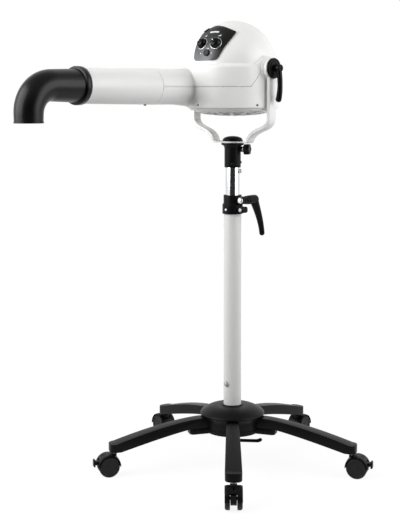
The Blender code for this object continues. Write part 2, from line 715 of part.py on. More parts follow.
def stop_screw_shape(slack, with_head):
    """The screw in the chrome tube under the swivel collar; with slack it is its own hole."""
    tube_r = CHROME_D / 2
    tip = tube_r - 2 * CHROME_WALL - slack
    place = move(z=COLLAR_LOW - STOP_DROP) @ Matrix.Rotation(KNOB_AZIMUTH, 4, "Z") @ ALONG_X
    radius = STOP_D / 2 + slack
    if not with_head:
        return rod(radius, tip, CHROME_D, 12, place)
    seat_out = tube_r + GAP
    profile = [(0, seat_out + STOP_HEAD_T), (STOP_HEAD_R, seat_out + STOP_HEAD_T), (STOP_HEAD_R, seat_out),
               (radius, seat_out), (radius, tip), (0, tip)]
    return turned(profile, 12, place=place)


def build_clamp():
    low_bore = TUBE_D / 2 + GAP
    high_bore = CHROME_D / 2 + GAP
    low_r = low_bore + CLAMP_LOWER_WALL
    high_r = high_bore + CLAMP_UPPER_WALL
    profile = [(high_bore, CLAMP_TOP), (high_r, CLAMP_TOP), (high_r, CLAMP_STEP + BUSH_LIP),
               (low_r, CLAMP_STEP - BUSH_LIP), (low_r, CLAMP_LOW), (low_bore, CLAMP_LOW),
               (low_bore, CLAMP_STEP), (high_bore, CLAMP_STEP)]
    clamp = solid("clamp_collar", turned(profile, 28, ring=True), BLACK)
    ear_mid = (high_bore + high_r) / 2
    for middle, ear_h in ((CLAMP_Z, EAR_H), ((CLAMP_LOW + CLAMP_STEP) / 2, EAR_H * 0.85)):
        ears = block((-EAR_W / 2, -EAR_REACH, middle - ear_h / 2), (EAR_W / 2, -ear_mid, middle + ear_h / 2))
        join(clamp, ears)
    cut(clamp, rod(low_bore, CLAMP_LOW - GAP, CLAMP_STEP, 28))
    cut(clamp, rod(high_bore, CLAMP_LOW, CLAMP_TOP + GAP, 28))
    cut(clamp, block((-CLAMP_SLIT / 2, -EAR_REACH - EAR_W, CLAMP_LOW - EAR_H),
                     (CLAMP_SLIT / 2, 0, CLAMP_TOP + EAR_H)))
    along = move(y=-STUD_OUT, z=CLAMP_Z) @ ALONG_X
    cut(clamp, rod(STUD_D / 2 + GAP, -EAR_W, EAR_W, 16, along))
    seat(clamp, BASE)
    left = -EAR_W / 2 - GAP
    right = EAR_W / 2 + GAP
    stud_end = right + CLAMP_HUB_L / 3
    stud = [(0, stud_end), (STUD_D / 2, stud_end), (STUD_D / 2, left), (STUD_HEAD_R, left),
            (STUD_HEAD_R, left - STUD_HEAD_T / 2), (STUD_HEAD_R * 0.7, left - STUD_HEAD_T),
            (0, left - STUD_HEAD_T)]
    seat(solid("clamp_stud", turned(stud, 16, place=along), CHROME), BASE)
    hub = rod(LEVER_HUB_R, right, right + CLAMP_HUB_L, 20, along)
    lever = solid("clamp_lever", hub, BLACK)
    root = right + CLAMP_HUB_L - LEVER_HUB_R
    path = interpolate_bezier((root, 0, 0), (root + CLAMP_LEVER_LEAN * 0.25, 0, -CLAMP_LEVER_DROP / 3),
                              (root + CLAMP_LEVER_LEAN * 0.7, 0, -CLAMP_LEVER_DROP * 2 / 3),
                              (root + CLAMP_LEVER_LEAN, 0, -CLAMP_LEVER_DROP), 7)
    join(lever, handle(path, LEVER_HUB_R * 0.95, LEVER_HUB_R * 0.55, move(y=-STUD_OUT, z=CLAMP_Z)))
    cut(lever, rod(STUD_D / 2 + GAP, right - GAP, stud_end + GAP, 16, along))
    seat(lever, CLAMP_AXIS)


def handle(path, root_r, tip_r, place):
    """A tapered lever along a path, rounded at its end."""
    last = Vector(path[-1])
    heading = (last - Vector(path[-2])).normalized()
    points = [Vector(point) for point in path] + [last + heading * tip_r * 0.6, last + heading * tip_r * 0.9]
    radii = [root_r + (tip_r - root_r) * i / (len(path) - 1) for i in range(len(path))]
    bm = loft(tube_rings(points, radii + [tip_r * 0.8, tip_r * 0.4], 12))
    bm.transform(place)
    return bm


# Swivel
def build_swivel():
    bore = CHROME_D / 2 + GAP
    body_r = bore + COLLAR_WALL
    pin_bore = SPINDLE_D / 2 + GAP
    socket = COLLAR_LOW + COLLAR_SOCKET
    flange_low = COLLAR_TOP - COLLAR_FLANGE_H
    flare_low = COLLAR_TOP - COLLAR_FLARE_H
    flare = (body_r + (COLLAR_FLANGE_R - body_r) * 0.4, flange_low + (flare_low - flange_low) * 0.4)
    profile = [(pin_bore, COLLAR_TOP), (COLLAR_FLANGE_R, COLLAR_TOP), (COLLAR_FLANGE_R, flange_low), flare,
               (body_r, flare_low), (body_r, COLLAR_LOW), (bore, COLLAR_LOW), (bore, socket),
               (pin_bore, socket)]
    collar = solid("swivel_collar", turned(profile, 28, ring=True), BLACK)
    aimed = world_of(KNOB_AXIS) @ ALONG_X
    join(collar, rod(KNOB_BOSS_R, (pin_bore + body_r) / 2, KNOB_BOSS_OUT, 16, aimed))
    cut(collar, rod(KNOB_SCREW_D / 2 + GAP, 0, KNOB_BOSS_OUT + KNOB_T, 12, aimed))
    seat(collar, SLIDE)
    near = KNOB_BOSS_OUT + GAP
    outline = []
    points = 6 * KNOB_LOBES
    for point in range(points):
        turn = tau * point / points
        reach = KNOB_R + KNOB_LOBE * cos(KNOB_LOBES * turn)
        outline.append((reach * cos(turn), reach * sin(turn)))
    knob = solid("swivel_knob", prism(outline, near + KNOB_T * 0.25, near + KNOB_T, aimed), BLACK)
    join(knob, rod(KNOB_BOSS_R, near, near + KNOB_T * 0.6, 16, aimed))
    join(knob, rod(KNOB_SCREW_D / 2, SPINDLE_D / 2 + GAP, near + KNOB_T * 0.4, 12, aimed))
    seat(knob, KNOB_AXIS)


def build_yoke():
    low_bend = PLATE_Z + YOKE_BEND
    foot_up = YOKE_T * 0.9
    bend = interpolate_bezier((0, YOKE_Y, low_bend), (0, YOKE_Y, low_bend - 0.55 * YOKE_BEND),
                              (0, YOKE_FOOT + 1.5 * YOKE_T, PLATE_Z + 0.62 * YOKE_BEND),
                              (0, YOKE_FOOT, PLATE_Z + foot_up), 9)
    toe = interpolate_bezier((0, YOKE_FOOT, PLATE_Z + foot_up),
                             (0, YOKE_FOOT - YOKE_T * 0.3, PLATE_Z + foot_up * 0.1),
                             (0, YOKE_FOOT - YOKE_T * 0.7, PLATE_Z),
                             (0, YOKE_FOOT - YOKE_T * 1.7, PLATE_Z), 5)
    strip_t = YOKE_PLATE_T - 2 * GAP
    half = [((0, YOKE_Y, TILT_Z), YOKE_T)] + [(point, YOKE_T) for point in bend]
    for step, point in enumerate(toe[1:]):
        share = (step + 1) / (len(toe) - 1)
        half.append((point, YOKE_T + (strip_t - YOKE_T) * share))
    path = [((0, -p[1], p[2]), thick) for p, thick in half]
    path += [(tuple(p), thick) for p, thick in reversed(half)]
    side = Vector((YOKE_W / 2, 0, 0))
    rings = []
    for index, (centre, thick) in enumerate(path):
        before = Vector(path[max(index - 1, 0)][0])
        after = Vector(path[min(index + 1, len(path) - 1)][0])
        across = (after - before).normalized().cross(Vector((1, 0, 0))) * thick / 2
        middle = Vector(centre)
        rings.append([middle - side - across, middle + side - across, middle + side + across,
                      middle - side + across])
    yoke = solid("yoke", loft(rings), WHITE)
    join(yoke, rod(YOKE_PLATE_R, PLATE_Z - YOKE_PLATE_T / 2, PLATE_TOP, 28))
    cut(yoke, rod(SPINDLE_NECK_D / 2 + GAP, PLATE_Z - YOKE_PLATE_T, PLATE_TOP + YOKE_PLATE_T, 20))
    for side in (-1, 1):
        eye = move(y=side * YOKE_Y, z=TILT_Z) @ ALONG_Y
        join(yoke, rod(EYE_R, -EYE_T / 2, EYE_T / 2, 28, eye))
        cut(yoke, rod(TILT_STUD_D / 2 + GAP, -EYE_T, EYE_T, 16, eye))
    seat(yoke, SWIVEL)
    shoulder = COLLAR_TOP
    head_low = PLATE_TOP + GAP
    head_top = head_low + SPINDLE_HEAD_T
    spindle = [(0, head_top), (SPINDLE_HEAD_R, head_top), (SPINDLE_HEAD_R, head_low),
               (SPINDLE_NECK_D / 2, head_low), (SPINDLE_NECK_D / 2, shoulder), (SPINDLE_D / 2, shoulder),
               (SPINDLE_D / 2, shoulder - SPINDLE_L), (0, shoulder - SPINDLE_L)]
    seat(solid("spindle", turned(spindle, 20), STEEL), SWIVEL)
    room_r = SPINDLE_HEAD_R + 4 * GAP
    room_top = head_low + CAP_ROOM
    turns = [pi / 2 * band / 5 for band in range(6)]
    crown = [(CAP_R * sin(turn), head_low + CAP_H * (0.25 + 0.75 * cos(turn))) for turn in turns]
    cap = crown + [(CAP_R, head_low), (room_r, head_low), (room_r, room_top), (0, room_top)]
    seat(solid("yoke_cap", turned(cap, 24), BLACK), SWIVEL)


# Tilt joint
def build_tilt():
    inner_end = BOSS_Y - TILT_STUD_IN
    stud_r = TILT_STUD_D / 2
    for name, turn, radius, thick in (("tilt_disc_near", ALONG_MINUS_Y, TILT_DISC_R, TILT_DISC_T),
                                      ("tilt_disc_far", ALONG_Y, FAR_DISC_R, FAR_DISC_T)):
        edge = 0.0015
        high = DISC_Y + thick
        ring = [(stud_r + GAP, high), (radius - edge, high), (radius, high - edge), (radius, DISC_Y),
                (stud_r + GAP, DISC_Y)]
        seat(solid(name, turned(ring, 28, ring=True, place=move(z=TILT_Z) @ turn), BLACK), SWIVEL)
    near = move(z=TILT_Z) @ ALONG_MINUS_Y
    hub_end = TILT_HUB_Y + TILT_HUB_L
    hub = [(0, hub_end), (TILT_HUB_R, hub_end), (TILT_HUB_R, TILT_HUB_Y), (stud_r, TILT_HUB_Y),
           (stud_r, inner_end), (0, inner_end)]
    lever = solid("tilt_lever", turned(hub, 20, place=near), BLACK)
    root = hub_end - TILT_HUB_R
    bow = -root - TILT_LEVER_BOW
    path = interpolate_bezier((0, -root, 0), (0, bow, -TILT_LEVER_DROP / 3),
                              (TILT_LEVER_LEAN * 0.7, bow, -TILT_LEVER_DROP * 2 / 3),
                              (TILT_LEVER_LEAN, -root, -TILT_LEVER_DROP), 7)
    join(lever, handle(path, TILT_HUB_R * 0.8, TILT_HUB_R * 0.68, move(z=TILT_Z)))
    seat(lever, TILT_LEVER_AXIS)
    far = move(z=TILT_Z) @ ALONG_Y
    bolt = [(0, FAR_HEAD_Y + FAR_HEAD_T), (FAR_HEAD_R, FAR_HEAD_Y + FAR_HEAD_T), (FAR_HEAD_R, FAR_HEAD_Y),
            (stud_r, FAR_HEAD_Y), (stud_r, inner_end), (0, inner_end)]
    seat(solid("tilt_bolt_far", turned(bolt, 16, place=far), BLACK), TILT)


# Head
def head_profile(inset, low, bands):
    """Dome and drum from the top down to a height; inset is the depth under the outer skin."""
    radius = DOME_R - inset
    turns = [pi / 2 * band / bands for band in range(bands + 1)]
    profile = [(radius * sin(turn), DOME_Z + radius * cos(turn)) for turn in turns]
    drum = DRUM_R - inset
    step = DRUM_R - DOME_R
    foot = TILT_Z + SHOULDER_UP - inset
    return profile + [(radius + step * 0.35, foot - step * 0.2), (radius + step * 0.8, foot - step * 0.7),
                      (drum, foot - step * 1.6), (drum, low)]


def spigot(inset, end):
    """The nozzle's root, from inside the drum to its end along -X."""
    swell = SPIGOT_FLARE - SPIGOT_R
    stations = ((0.2 * DRUM_R, SPIGOT_R * 0.85, SPIGOT_FLARE),
                (0.6 * DRUM_R, SPIGOT_R * 0.97, SPIGOT_FLARE),
                (0.85 * DRUM_R, SPIGOT_R, SPIGOT_R + swell * 0.75),
                (1.15 * DRUM_R, SPIGOT_R, SPIGOT_R + swell * 0.25),
                (end, SPIGOT_R, SPIGOT_R))
    turns = [tau * i / 28 for i in range(28)]
    rings = []
    for reach, half, tall in stations:
        wide, high = half - inset, tall - inset
        centre = Vector((-reach, NOZZLE_Y, SEAM_Z))
        rings.append([centre + Vector((0, wide * cos(turn), high * sin(turn))) for turn in turns])
    return loft(rings)


def control_direction(azimuth, up):
    """Unit vector from the dome's centre to a control on it, azimuth measured from -X."""
    rise = asin((up - DOME_UP) / DOME_R)
    return Vector((-cos(rise) * cos(azimuth), cos(rise) * sin(azimuth), sin(rise)))


def control_places():
    spread = asin(CONTROL_PITCH / 2 / DOME_R)
    dome = move(z=DOME_Z)
    return {
        "heat_knob": dome @ aim(control_direction(spread - CONTROL_TURN, CONTROL_UP)),
        "speed_knob": dome @ aim(control_direction(-spread - CONTROL_TURN, CONTROL_UP)),
        "power_button": dome @ aim(control_direction(-CONTROL_TURN, BUTTON_UP)),
    }


def head_shell(name, low, high):
    """The part of the hollow head between two heights."""
    lip = WALL
    outer = head_profile(0.0, DRUM_LOW + 2 * lip, 10)
    outer += [(DRUM_R - lip, DRUM_LOW + lip / 2), (DRUM_R - 2 * lip, DRUM_LOW), (0, DRUM_LOW)]
    shell = solid(name, turned(outer, 44), WHITE)
    join(shell, spigot(0.0, SPIGOT_END))
    for turn in (ALONG_MINUS_Y, ALONG_Y):
        join(shell, rod(BOSS_R, DRUM_R - 4 * WALL, BOSS_Y, 30, move(z=TILT_Z) @ turn))
    core = head_profile(WALL, DRUM_LOW + lip, 7)
    core += [(INTAKE_R, DRUM_LOW + lip), (INTAKE_R, DRUM_LOW - lip), (0, DRUM_LOW - lip)]
    cut(shell, turned(core, 44))
    cut(shell, spigot(WALL, SPIGOT_END + WALL))
    for turn in (ALONG_MINUS_Y, ALONG_Y):
        cut(shell, rod(TILT_STUD_D / 2 + GAP, DRUM_R - 5 * WALL, BOSS_Y + WALL, 18, move(z=TILT_Z) @ turn))
    reach = SPIGOT_END + DRUM_R
    return keep(shell, block((-reach, -reach, low), (reach, reach, high)))


def build_housings():
    top = DOME_Z + DOME_R + WALL
    upper = head_shell("upper_housing", SEAM_Z + GAP / 2, top)
    for name, place in control_places().items():
        bore = (BUTTON_STEM_D if name == "power_button" else CONTROL_SHAFT_D) / 2 + GAP
        cut(upper, rod(bore, BOARD_AT, DOME_R + 2 * WALL, 12, place))
    seat(upper, TILT)
    lower = head_shell("lower_housing", DRUM_LOW - WALL, SEAM_Z - GAP / 2)
    rear = move(z=TILT_Z - GLAND_DROP) @ ALONG_X
    cut(lower, rod(GLAND_SHANK_D / 2 + GAP, DRUM_R - 3 * WALL, DRUM_R + WALL, 16, rear))
    seat(lower, TILT)
    collar = DRUM_R + GAP
    end = collar + GLAND_OUT
    gland = [(0, end), (GLAND_R * 0.55, end), (GLAND_R, collar + GLAND_OUT * 0.3), (GLAND_R, collar),
             (GLAND_SHANK_D / 2, collar), (GLAND_SHANK_D / 2, DRUM_R - 2 * WALL), (0, DRUM_R - 2 * WALL)]
    seat(solid("cord_gland", turned(gland, 16, place=rear), BLACK), TILT)


def build_grille():
    top = DRUM_LOW - GAP
    rim = top - GRILLE_RIM_H
    turns = [pi / 2 * band / 4 for band in range(5)]
    belly = [(INTAKE_R * sin(turn), rim - GRILLE_BELLY * cos(turn)) for turn in turns]
    inside = [(radius * (1 - GRILLE_T / INTAKE_R), height + GRILLE_T) for radius, height in belly[:-1]]
    profile = belly + [(GRILLE_R - GRILLE_RIM_H, rim), (GRILLE_R, rim + GRILLE_RIM_H / 3), (GRILLE_R, top),
                       (INTAKE_R - GRILLE_T, top)] + list(reversed(inside))
    grille = solid("intake_grille", turned(profile, 40), WHITE)
    slots = bmesh.new()
    for index in range(GRILLE_SLOTS):
        slot = block((INTAKE_R * 0.35, -SLOT_W / 2, rim - 2 * GRILLE_BELLY),
                     (INTAKE_R * 0.86, SLOT_W / 2, top), Matrix.Rotation(tau * index / GRILLE_SLOTS, 4, "Z"))
        gather(slots, slot)
    seat(cut(grille, slots), TILT)


def build_nozzle():
    start = SPIGOT_END + GAP
    profile = [(SPIGOT_R - NOZZLE_WALL, start), (SPIGOT_R, start), (NOZZLE_END_R, NOZZLE_TIP),
               (NOZZLE_END_R - NOZZLE_WALL, NOZZLE_TIP)]
    nozzle_place = move(0, NOZZLE_Y, SEAM_Z) @ ALONG_MINUS_X
    seat(solid("nozzle_tube", turned(profile, 32, ring=True, place=nozzle_place), WHITE), TILT)
    heater_start = start + NOZZLE_WALL
    heater_end = heater_start + HEATER_L
    taper = (SPIGOT_R - NOZZLE_END_R) / NOZZLE_L
    reach = SPIGOT_R - NOZZLE_WALL - taper * (heater_end - start) - HEATER_FREE
    thin = HEATER_BOARD_T / 2
    plus = [(reach, -thin), (reach, thin), (thin, thin), (thin, reach), (-thin, reach), (-thin, thin),
            (-reach, thin), (-reach, -thin), (-thin, -thin), (-thin, -reach), (thin, -reach), (thin, -thin)]
    seat(solid("heater", prism(plus, heater_start, heater_end, nozzle_place), MICA), TILT)


def elbow_point(along):
    """Centre line of the elbow at a distance from its flange face."""
    turn = pi / 2 * ELBOW_BEND
    corner = -FLANGE_X - ELBOW_LEG
    if along <= ELBOW_LEG:
        return Vector((-FLANGE_X - along, NOZZLE_Y, SEAM_Z))
    if along <= ELBOW_LEG + turn:
        angle = (along - ELBOW_LEG) / ELBOW_BEND
        return Vector((corner - ELBOW_BEND * sin(angle), NOZZLE_Y, SEAM_Z - ELBOW_BEND * (1 - cos(angle))))
    drop = along - ELBOW_LEG - turn
    return Vector((corner - ELBOW_BEND, NOZZLE_Y, SEAM_Z - ELBOW_BEND - drop))


def build_elbow():
    turn = pi / 2 * ELBOW_BEND
    length = ELBOW_LEG + turn + ELBOW_DROP
    leg_start = ELBOW_FLANGE_T * 1.3

    def leg_radius(along):
        return ELBOW_LEG_R + (ELBOW_OUT_R - ELBOW_LEG_R) * max(along - leg_start, 0.0) / (length - leg_start)

    bend = [ELBOW_LEG + turn * i / 7 for i in range(8)]
    lip = ELBOW_LIP * 4
    outside = [(0.0, ELBOW_FLANGE_R - ELBOW_LIP), (ELBOW_LIP, ELBOW_FLANGE_R),
               (ELBOW_FLANGE_T - ELBOW_LIP, ELBOW_FLANGE_R), (ELBOW_FLANGE_T, ELBOW_FLANGE_R - ELBOW_LIP),
               (leg_start, ELBOW_LEG_R)]
    outside += [(along, leg_radius(along)) for along in bend]
    outside += [(length - 2 * lip, leg_radius(length - 2 * lip)), (length - lip, ELBOW_OUT_R + ELBOW_LIP),
                (length, ELBOW_OUT_R + ELBOW_LIP)]
    socket = ELBOW_GRIP + GAP
    inside = [(length, ELBOW_OUT_R - ELBOW_WALL)]
    inside += [(along, leg_radius(along) - ELBOW_WALL) for along in reversed(bend)]
    inside += [(socket, ELBOW_LEG_R - ELBOW_WALL), (socket, NOZZLE_END_R + GAP),
               (0.0, NOZZLE_END_R + 2 * GAP)]
    rings = []
    step = 0.0005
    for along, radius in outside + inside:
        centre = elbow_point(along)
        heading = (elbow_point(along + step) - elbow_point(along - step)).normalized()
        across = heading.cross(Vector((0, 1, 0)))
        ring = []
        for i in range(26):
            angle = tau * i / 26
            ring.append(centre + Vector((0, radius * cos(angle), 0)) + across * radius * sin(angle))
        rings.append(ring)
    seat(solid("elbow", loft(rings, loop=True), BLACK_SOFT), ELBOW_AXIS)


def build_blower():
    plate_low = TILT_Z - MOTOR_PLATE_T
    plate_top = plate_low + MOTOR_PLATE_T
    plate_r = DRUM_R - WALL - (DRUM_R - DOME_R) * 0.3
    shaft_r = SHAFT_D / 2
    plate_bore = shaft_r + 2 * GAP
    plate = [(plate_bore, plate_top), (plate_r, plate_top), (plate_r, plate_low), (plate_bore, plate_low)]
    seat(solid("motor_plate", turned(plate, 40, ring=True), STEEL), TILT)
    base = plate_top + GAP
    bore = shaft_r + GAP
    end = base + SHAFT_IN_MOTOR + GAP
    motor = [(0, base + MOTOR_H), (MOTOR_R * 0.4, base + MOTOR_H), (MOTOR_R * 0.4, base + MOTOR_H * 0.85),
             (MOTOR_R, base + MOTOR_H * 0.8), (MOTOR_R, base), (bore, base), (bore, end), (0, end)]
    seat(solid("motor", turned(motor, 28), STEEL), TILT)
    back = TILT_Z - IMPELLER_DROP
    hub_r = 2.5 * shaft_r
    low = back - IMPELLER_H
    web = back - BACKPLATE_T
    rotor = [(0, base + SHAFT_IN_MOTOR), (shaft_r, base + SHAFT_IN_MOTOR), (shaft_r, back),
             (IMPELLER_R, back), (IMPELLER_R, web), (hub_r, web), (hub_r, back - IMPELLER_H / 2),
             (0, back - IMPELLER_H / 2)]
    impeller = solid("impeller", turned(rotor, 36), BLACK)
    blades = bmesh.new()
    for index in range(BLADES):
        blade = block((IMPELLER_EYE_R, -BLADE_T / 2, low),
                      (IMPELLER_R - BLADE_T, BLADE_T / 2, back - BACKPLATE_T / 2),
                      Matrix.Rotation(tau * index / BLADES, 4, "Z"))
        gather(blades, blade)
    seat(join(impeller, blades), IMPELLER_AXIS)


# Controls
def panel_half_angle(share):
    foot, rise, curl = PANEL_ANGLES
    return radians(foot + rise * share + curl * share ** 2)


def panel_point(across, share, radius):
    """A point of the panel: across runs -1 to 1, share from the foot to the top edge."""
    top = PANEL_HIGH - PANEL_TIP_FALL * across ** 2
    up = PANEL_LOW + (top - PANEL_LOW) * share
    return Vector((0, 0, DOME_Z)) + control_direction(across * panel_half_angle(share), up) * radius


def build_panel():
    columns = [i / 6 - 1 for i in range(13)]
    back = DOME_R + PANEL_OFF
    front = back + PANEL_T
    rings = []
    for row in range(9):
        share = row / 8
        ring = [panel_point(across, share, front) for across in columns]
        ring += [panel_point(across, share, back) for across in reversed(columns)]
        rings.append(ring)
    panel = solid("control_panel", loft(rings), PANEL_GREY)
    for name, place in control_places().items():
        bore = BUTTON_R + GAP if name == "power_button" else CONTROL_SHAFT_D / 2 + GAP
        cut(panel, rod(bore, DOME_R - WALL, DOME_R + 3 * WALL, 16, place))
    seat(panel, TILT)
    return front


def build_controls(front):
    places = control_places()
    sag = front - sqrt(front ** 2 - CONTROL_R ** 2)
    base = front + sag + GAP
    middle = control_direction(-CONTROL_TURN, CONTROL_UP)
    lean = places["heat_knob"].to_quaternion() @ Vector((0, 0, 1))
    shaft_r = CONTROL_SHAFT_D / 2
    tip = (BOARD_AT + GAP) / lean.dot(middle) + shaft_r * lean.cross(middle).length
    for name in ("heat_knob", "speed_knob"):
        place = places[name]
        knob = [(0, base + CONTROL_H), (CONTROL_R * 0.7, base + CONTROL_H),
                (CONTROL_R * 0.76, base + CONTROL_H * 0.88), (CONTROL_R * 0.81, base + CONTROL_H * 0.25),
                (CONTROL_R, base + CONTROL_H * 0.18), (CONTROL_R, base), (shaft_r, base), (shaft_r, tip),
                (0, tip)]
        seat(solid(name, turned(knob, 20, place=place), BLACK), axis(name + "_axis", place, TILT))
    place = places["power_button"]
    stem_r = BUTTON_STEM_D / 2
    low = front - PANEL_T / 10
    button = [(0, low + BUTTON_H), (BUTTON_R * 0.85, low + BUTTON_H), (BUTTON_R, low + BUTTON_H * 0.8),
              (BUTTON_R, low), (stem_r, low), (stem_r, low - BUTTON_STEM_L), (0, low - BUTTON_STEM_L)]
    pushed = solid("power_button", turned(button, 18, place=place), BLACK_SOFT)
    seat(pushed, axis("power_button_axis", place, TILT))
    board_place = move(z=DOME_Z) @ aim(middle)
    board = block((-BOARD_H / 2, -BOARD_W / 2, BOARD_AT - BOARD_T), (BOARD_H / 2, BOARD_W / 2, BOARD_AT),
                  board_place)
    seat(solid("control_board", board, BOARD_GREEN), TILT)


hang_casters()
build_arms()
build_hub()
build_hub_plate()
build_lock_lever()
build_tubes()
build_clamp()
build_swivel()
build_yoke()
build_tilt()
build_housings()
build_grille()
build_nozzle()
build_elbow()
build_blower()
build_controls(build_panel())
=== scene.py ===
# %% [markdown]
# # A salon blow dryer on a star base
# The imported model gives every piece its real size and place. This lesson dresses it: first the camera,
# the light and the finishes, then the pieces one by one, from the head down to the casters. Each piece is
# shaped with Blender's own modelling operators and then rides on the body that carries it, so that the
# pole still slides, the head still tilts and the wheels still roll.

# %% Load the frame
import json
from math import asin, cos, pi, radians, sin, sqrt, tan, tau

import bpy
from mathutils import Matrix, Vector
from mathutils.geometry import interpolate_bezier


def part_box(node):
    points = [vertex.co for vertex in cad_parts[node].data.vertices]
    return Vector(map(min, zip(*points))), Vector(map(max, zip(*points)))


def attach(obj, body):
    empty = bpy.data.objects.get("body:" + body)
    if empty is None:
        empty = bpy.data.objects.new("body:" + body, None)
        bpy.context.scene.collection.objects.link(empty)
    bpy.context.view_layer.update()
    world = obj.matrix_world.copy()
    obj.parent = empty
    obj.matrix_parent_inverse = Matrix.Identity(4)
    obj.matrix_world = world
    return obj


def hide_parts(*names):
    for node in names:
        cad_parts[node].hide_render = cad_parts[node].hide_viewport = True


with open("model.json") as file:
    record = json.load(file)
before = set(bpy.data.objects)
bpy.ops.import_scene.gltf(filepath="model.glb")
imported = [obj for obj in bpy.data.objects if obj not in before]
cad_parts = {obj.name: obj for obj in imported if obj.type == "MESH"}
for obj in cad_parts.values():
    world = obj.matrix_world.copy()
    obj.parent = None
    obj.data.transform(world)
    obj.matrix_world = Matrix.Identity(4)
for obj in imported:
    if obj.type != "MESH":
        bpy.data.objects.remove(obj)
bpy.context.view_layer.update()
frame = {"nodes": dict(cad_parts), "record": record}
nodes = frame["nodes"]
bpy.ops.object.select_all(action="DESELECT")

# %% [markdown]
# ## Camera
# The photograph was taken from the front left, at the height of the head, with a long lens: the pole's
# two edges stay parallel from top to bottom. A level camera with its frame shifted down gives that. A
# large shift would push the object out of other views, so a small downward pitch takes up part of it.

# %% Camera
MM = 0.001                # every small size below is written in millimetres
PHOTO_H = 521
FOCAL_PX = 1111
SENSOR_MM = 36
HORIZON_PX = 100          # the camera's own height, from the top of the picture
STAND_OFF = 2.5           # metres from the pole
EYE_HEIGHT = 0.8272
EYE_LEFT = 0.0735
FACING = radians(-48)
PITCH = radians(2.5)

camera_data = bpy.data.cameras.new("studio_camera")
camera = bpy.data.objects.new("studio_camera", camera_data)
bpy.context.scene.collection.objects.link(camera)
bpy.context.scene.camera = camera
to_eye = Vector((sin(FACING), -cos(FACING), 0))
to_right = Vector((cos(FACING), sin(FACING), 0))
camera.location = to_eye * STAND_OFF - to_right * EYE_LEFT + Vector((0, 0, EYE_HEIGHT))
camera.rotation_euler = (pi / 2 - PITCH, 0, FACING)
camera_data.sensor_width = SENSOR_MM
camera_data.lens = FOCAL_PX * SENSOR_MM / PHOTO_H
camera_data.shift_y = -(PHOTO_H / 2 - HORIZON_PX - FOCAL_PX * tan(PITCH)) / PHOTO_H
bpy.context.scene.view_settings.view_transform = "Standard"
print(
    "camera", tuple(round(x, 3) for x in camera.location), "lens", round(camera_data.lens, 1), "shift",
    round(camera_data.shift_y, 3))

# %% [markdown]
# ## Small tools for materials
# Colours are written as the hex values that a paint program shows. Blender mixes light in linear values,
# so one function turns them round. Another adds a node to a tree with its settings, its values and its
# links; every material below is made with it. The last two start an empty material and build the few
# nodes that light and floor both need.

# %% Colour and node tools
def linear(hex_colour, alpha=1.0):
    """An sRGB hex colour as linear RGBA."""
    parts = [int(hex_colour[i:i + 2], 16) / 255 for i in (1, 3, 5)]
    return [c / 12.92 if c <= 0.04045 else ((c + 0.055) / 1.055) ** 2.4 for c in parts] + [alpha]


def add(tree, kind, inputs=None, **settings):
    """One node: settings are its own properties, inputs its sockets' values or what feeds them."""
    made = tree.nodes.new("ShaderNode" + kind)
    for key, value in settings.items():
        setattr(made, key, value)
    for key, value in (inputs or {}).items():
        if isinstance(value, bpy.types.Node):
            value = value.outputs[0]
        if isinstance(value, bpy.types.NodeSocket):
            tree.links.new(value, made.inputs[key])
        else:
            made.inputs[key].default_value = value
    return made


def blank_material(name):
    """A new material and its emptied node tree."""
    made = bpy.data.materials.new(name)
    made.use_nodes = True
    made.node_tree.nodes.clear()
    return made, made.node_tree


def seen_plain(tree, mirror_share):
    """1 for what the camera sees itself or through glass, and the given share for what a mirror shows."""
    ray = add(tree, "LightPath")
    mirrored = add(tree, "Math", {0: ray.outputs["Is Glossy Ray"], 1: mirror_share}, operation="MULTIPLY")
    direct = add(tree, "Math", {0: ray.outputs["Is Camera Ray"], 1: mirrored}, operation="MAXIMUM")
    return add(tree, "Math", {0: direct, 1: ray.outputs["Is Transmission Ray"]}, operation="MAXIMUM")


print("white is", [round(c, 3) for c in linear("#ffffff")])

# %% [markdown]
# ## Light
# Two large softboxes stand left and right of the object. The room round them has bright side walls and a
# pale ceiling, and its side behind the camera stays dark. That is what puts pale edges and a darker
# middle on the round tubes and the dark band down the chrome one, and the nozzle's root then shades the
# drum beside it. The picture's background is a plain white sheet behind the object, and metal mirrors
# that sheet where it faces it.

# %% Studio light
FRONT_LEVEL = 0.03          # behind the camera
SIDE_LEVEL = 0.10
WALL_LEVEL = 1.0
TOP_LEVEL = 0.50
WHITE = linear("#ffffff")

world = bpy.data.worlds.new("white_studio")
bpy.context.scene.world = world
world.use_nodes = True
sky = world.node_tree
sky.nodes.clear()
direction = add(sky, "TexCoord").outputs["Generated"]
toward = add(sky, "VectorMath", {0: direction, 1: to_eye}, operation="DOT_PRODUCT").outputs["Value"]
front = add(
    sky, "MapRange", {"Value": toward, "From Min": 0.1, "From Max": 0.75, "To Min": SIDE_LEVEL,
        "To Max": FRONT_LEVEL}, interpolation_type="SMOOTHSTEP")
height = add(sky, "SeparateXYZ", {0: direction}).outputs["Z"]
above = add(
    sky, "MapRange", {"Value": height, "From Min": 0.25, "From Max": 0.8}, interpolation_type="SMOOTHSTEP")
level = add(sky, "Mix", {"Factor": above, "A": front, "B": TOP_LEVEL})
across = add(sky, "VectorMath", {0: direction, 1: to_right}, operation="DOT_PRODUCT").outputs["Value"]
aside = add(sky, "Math", {0: across}, operation="ABSOLUTE")
wall = add(
    sky, "MapRange", {"Value": aside, "From Min": 0.62, "From Max": 0.84, "To Max": WALL_LEVEL},
    interpolation_type="SMOOTHSTEP")
room = add(sky, "Math", {0: level, 1: wall}, operation="ADD")
walls = add(sky, "Background", {"Color": WHITE, "Strength": room})
paper = add(sky, "Background", {"Color": WHITE, "Strength": 1.0})
behind = add(
    sky, "MapRange", {"Value": toward, "From Min": -0.30, "From Max": -0.62},
    interpolation_type="SMOOTHSTEP")
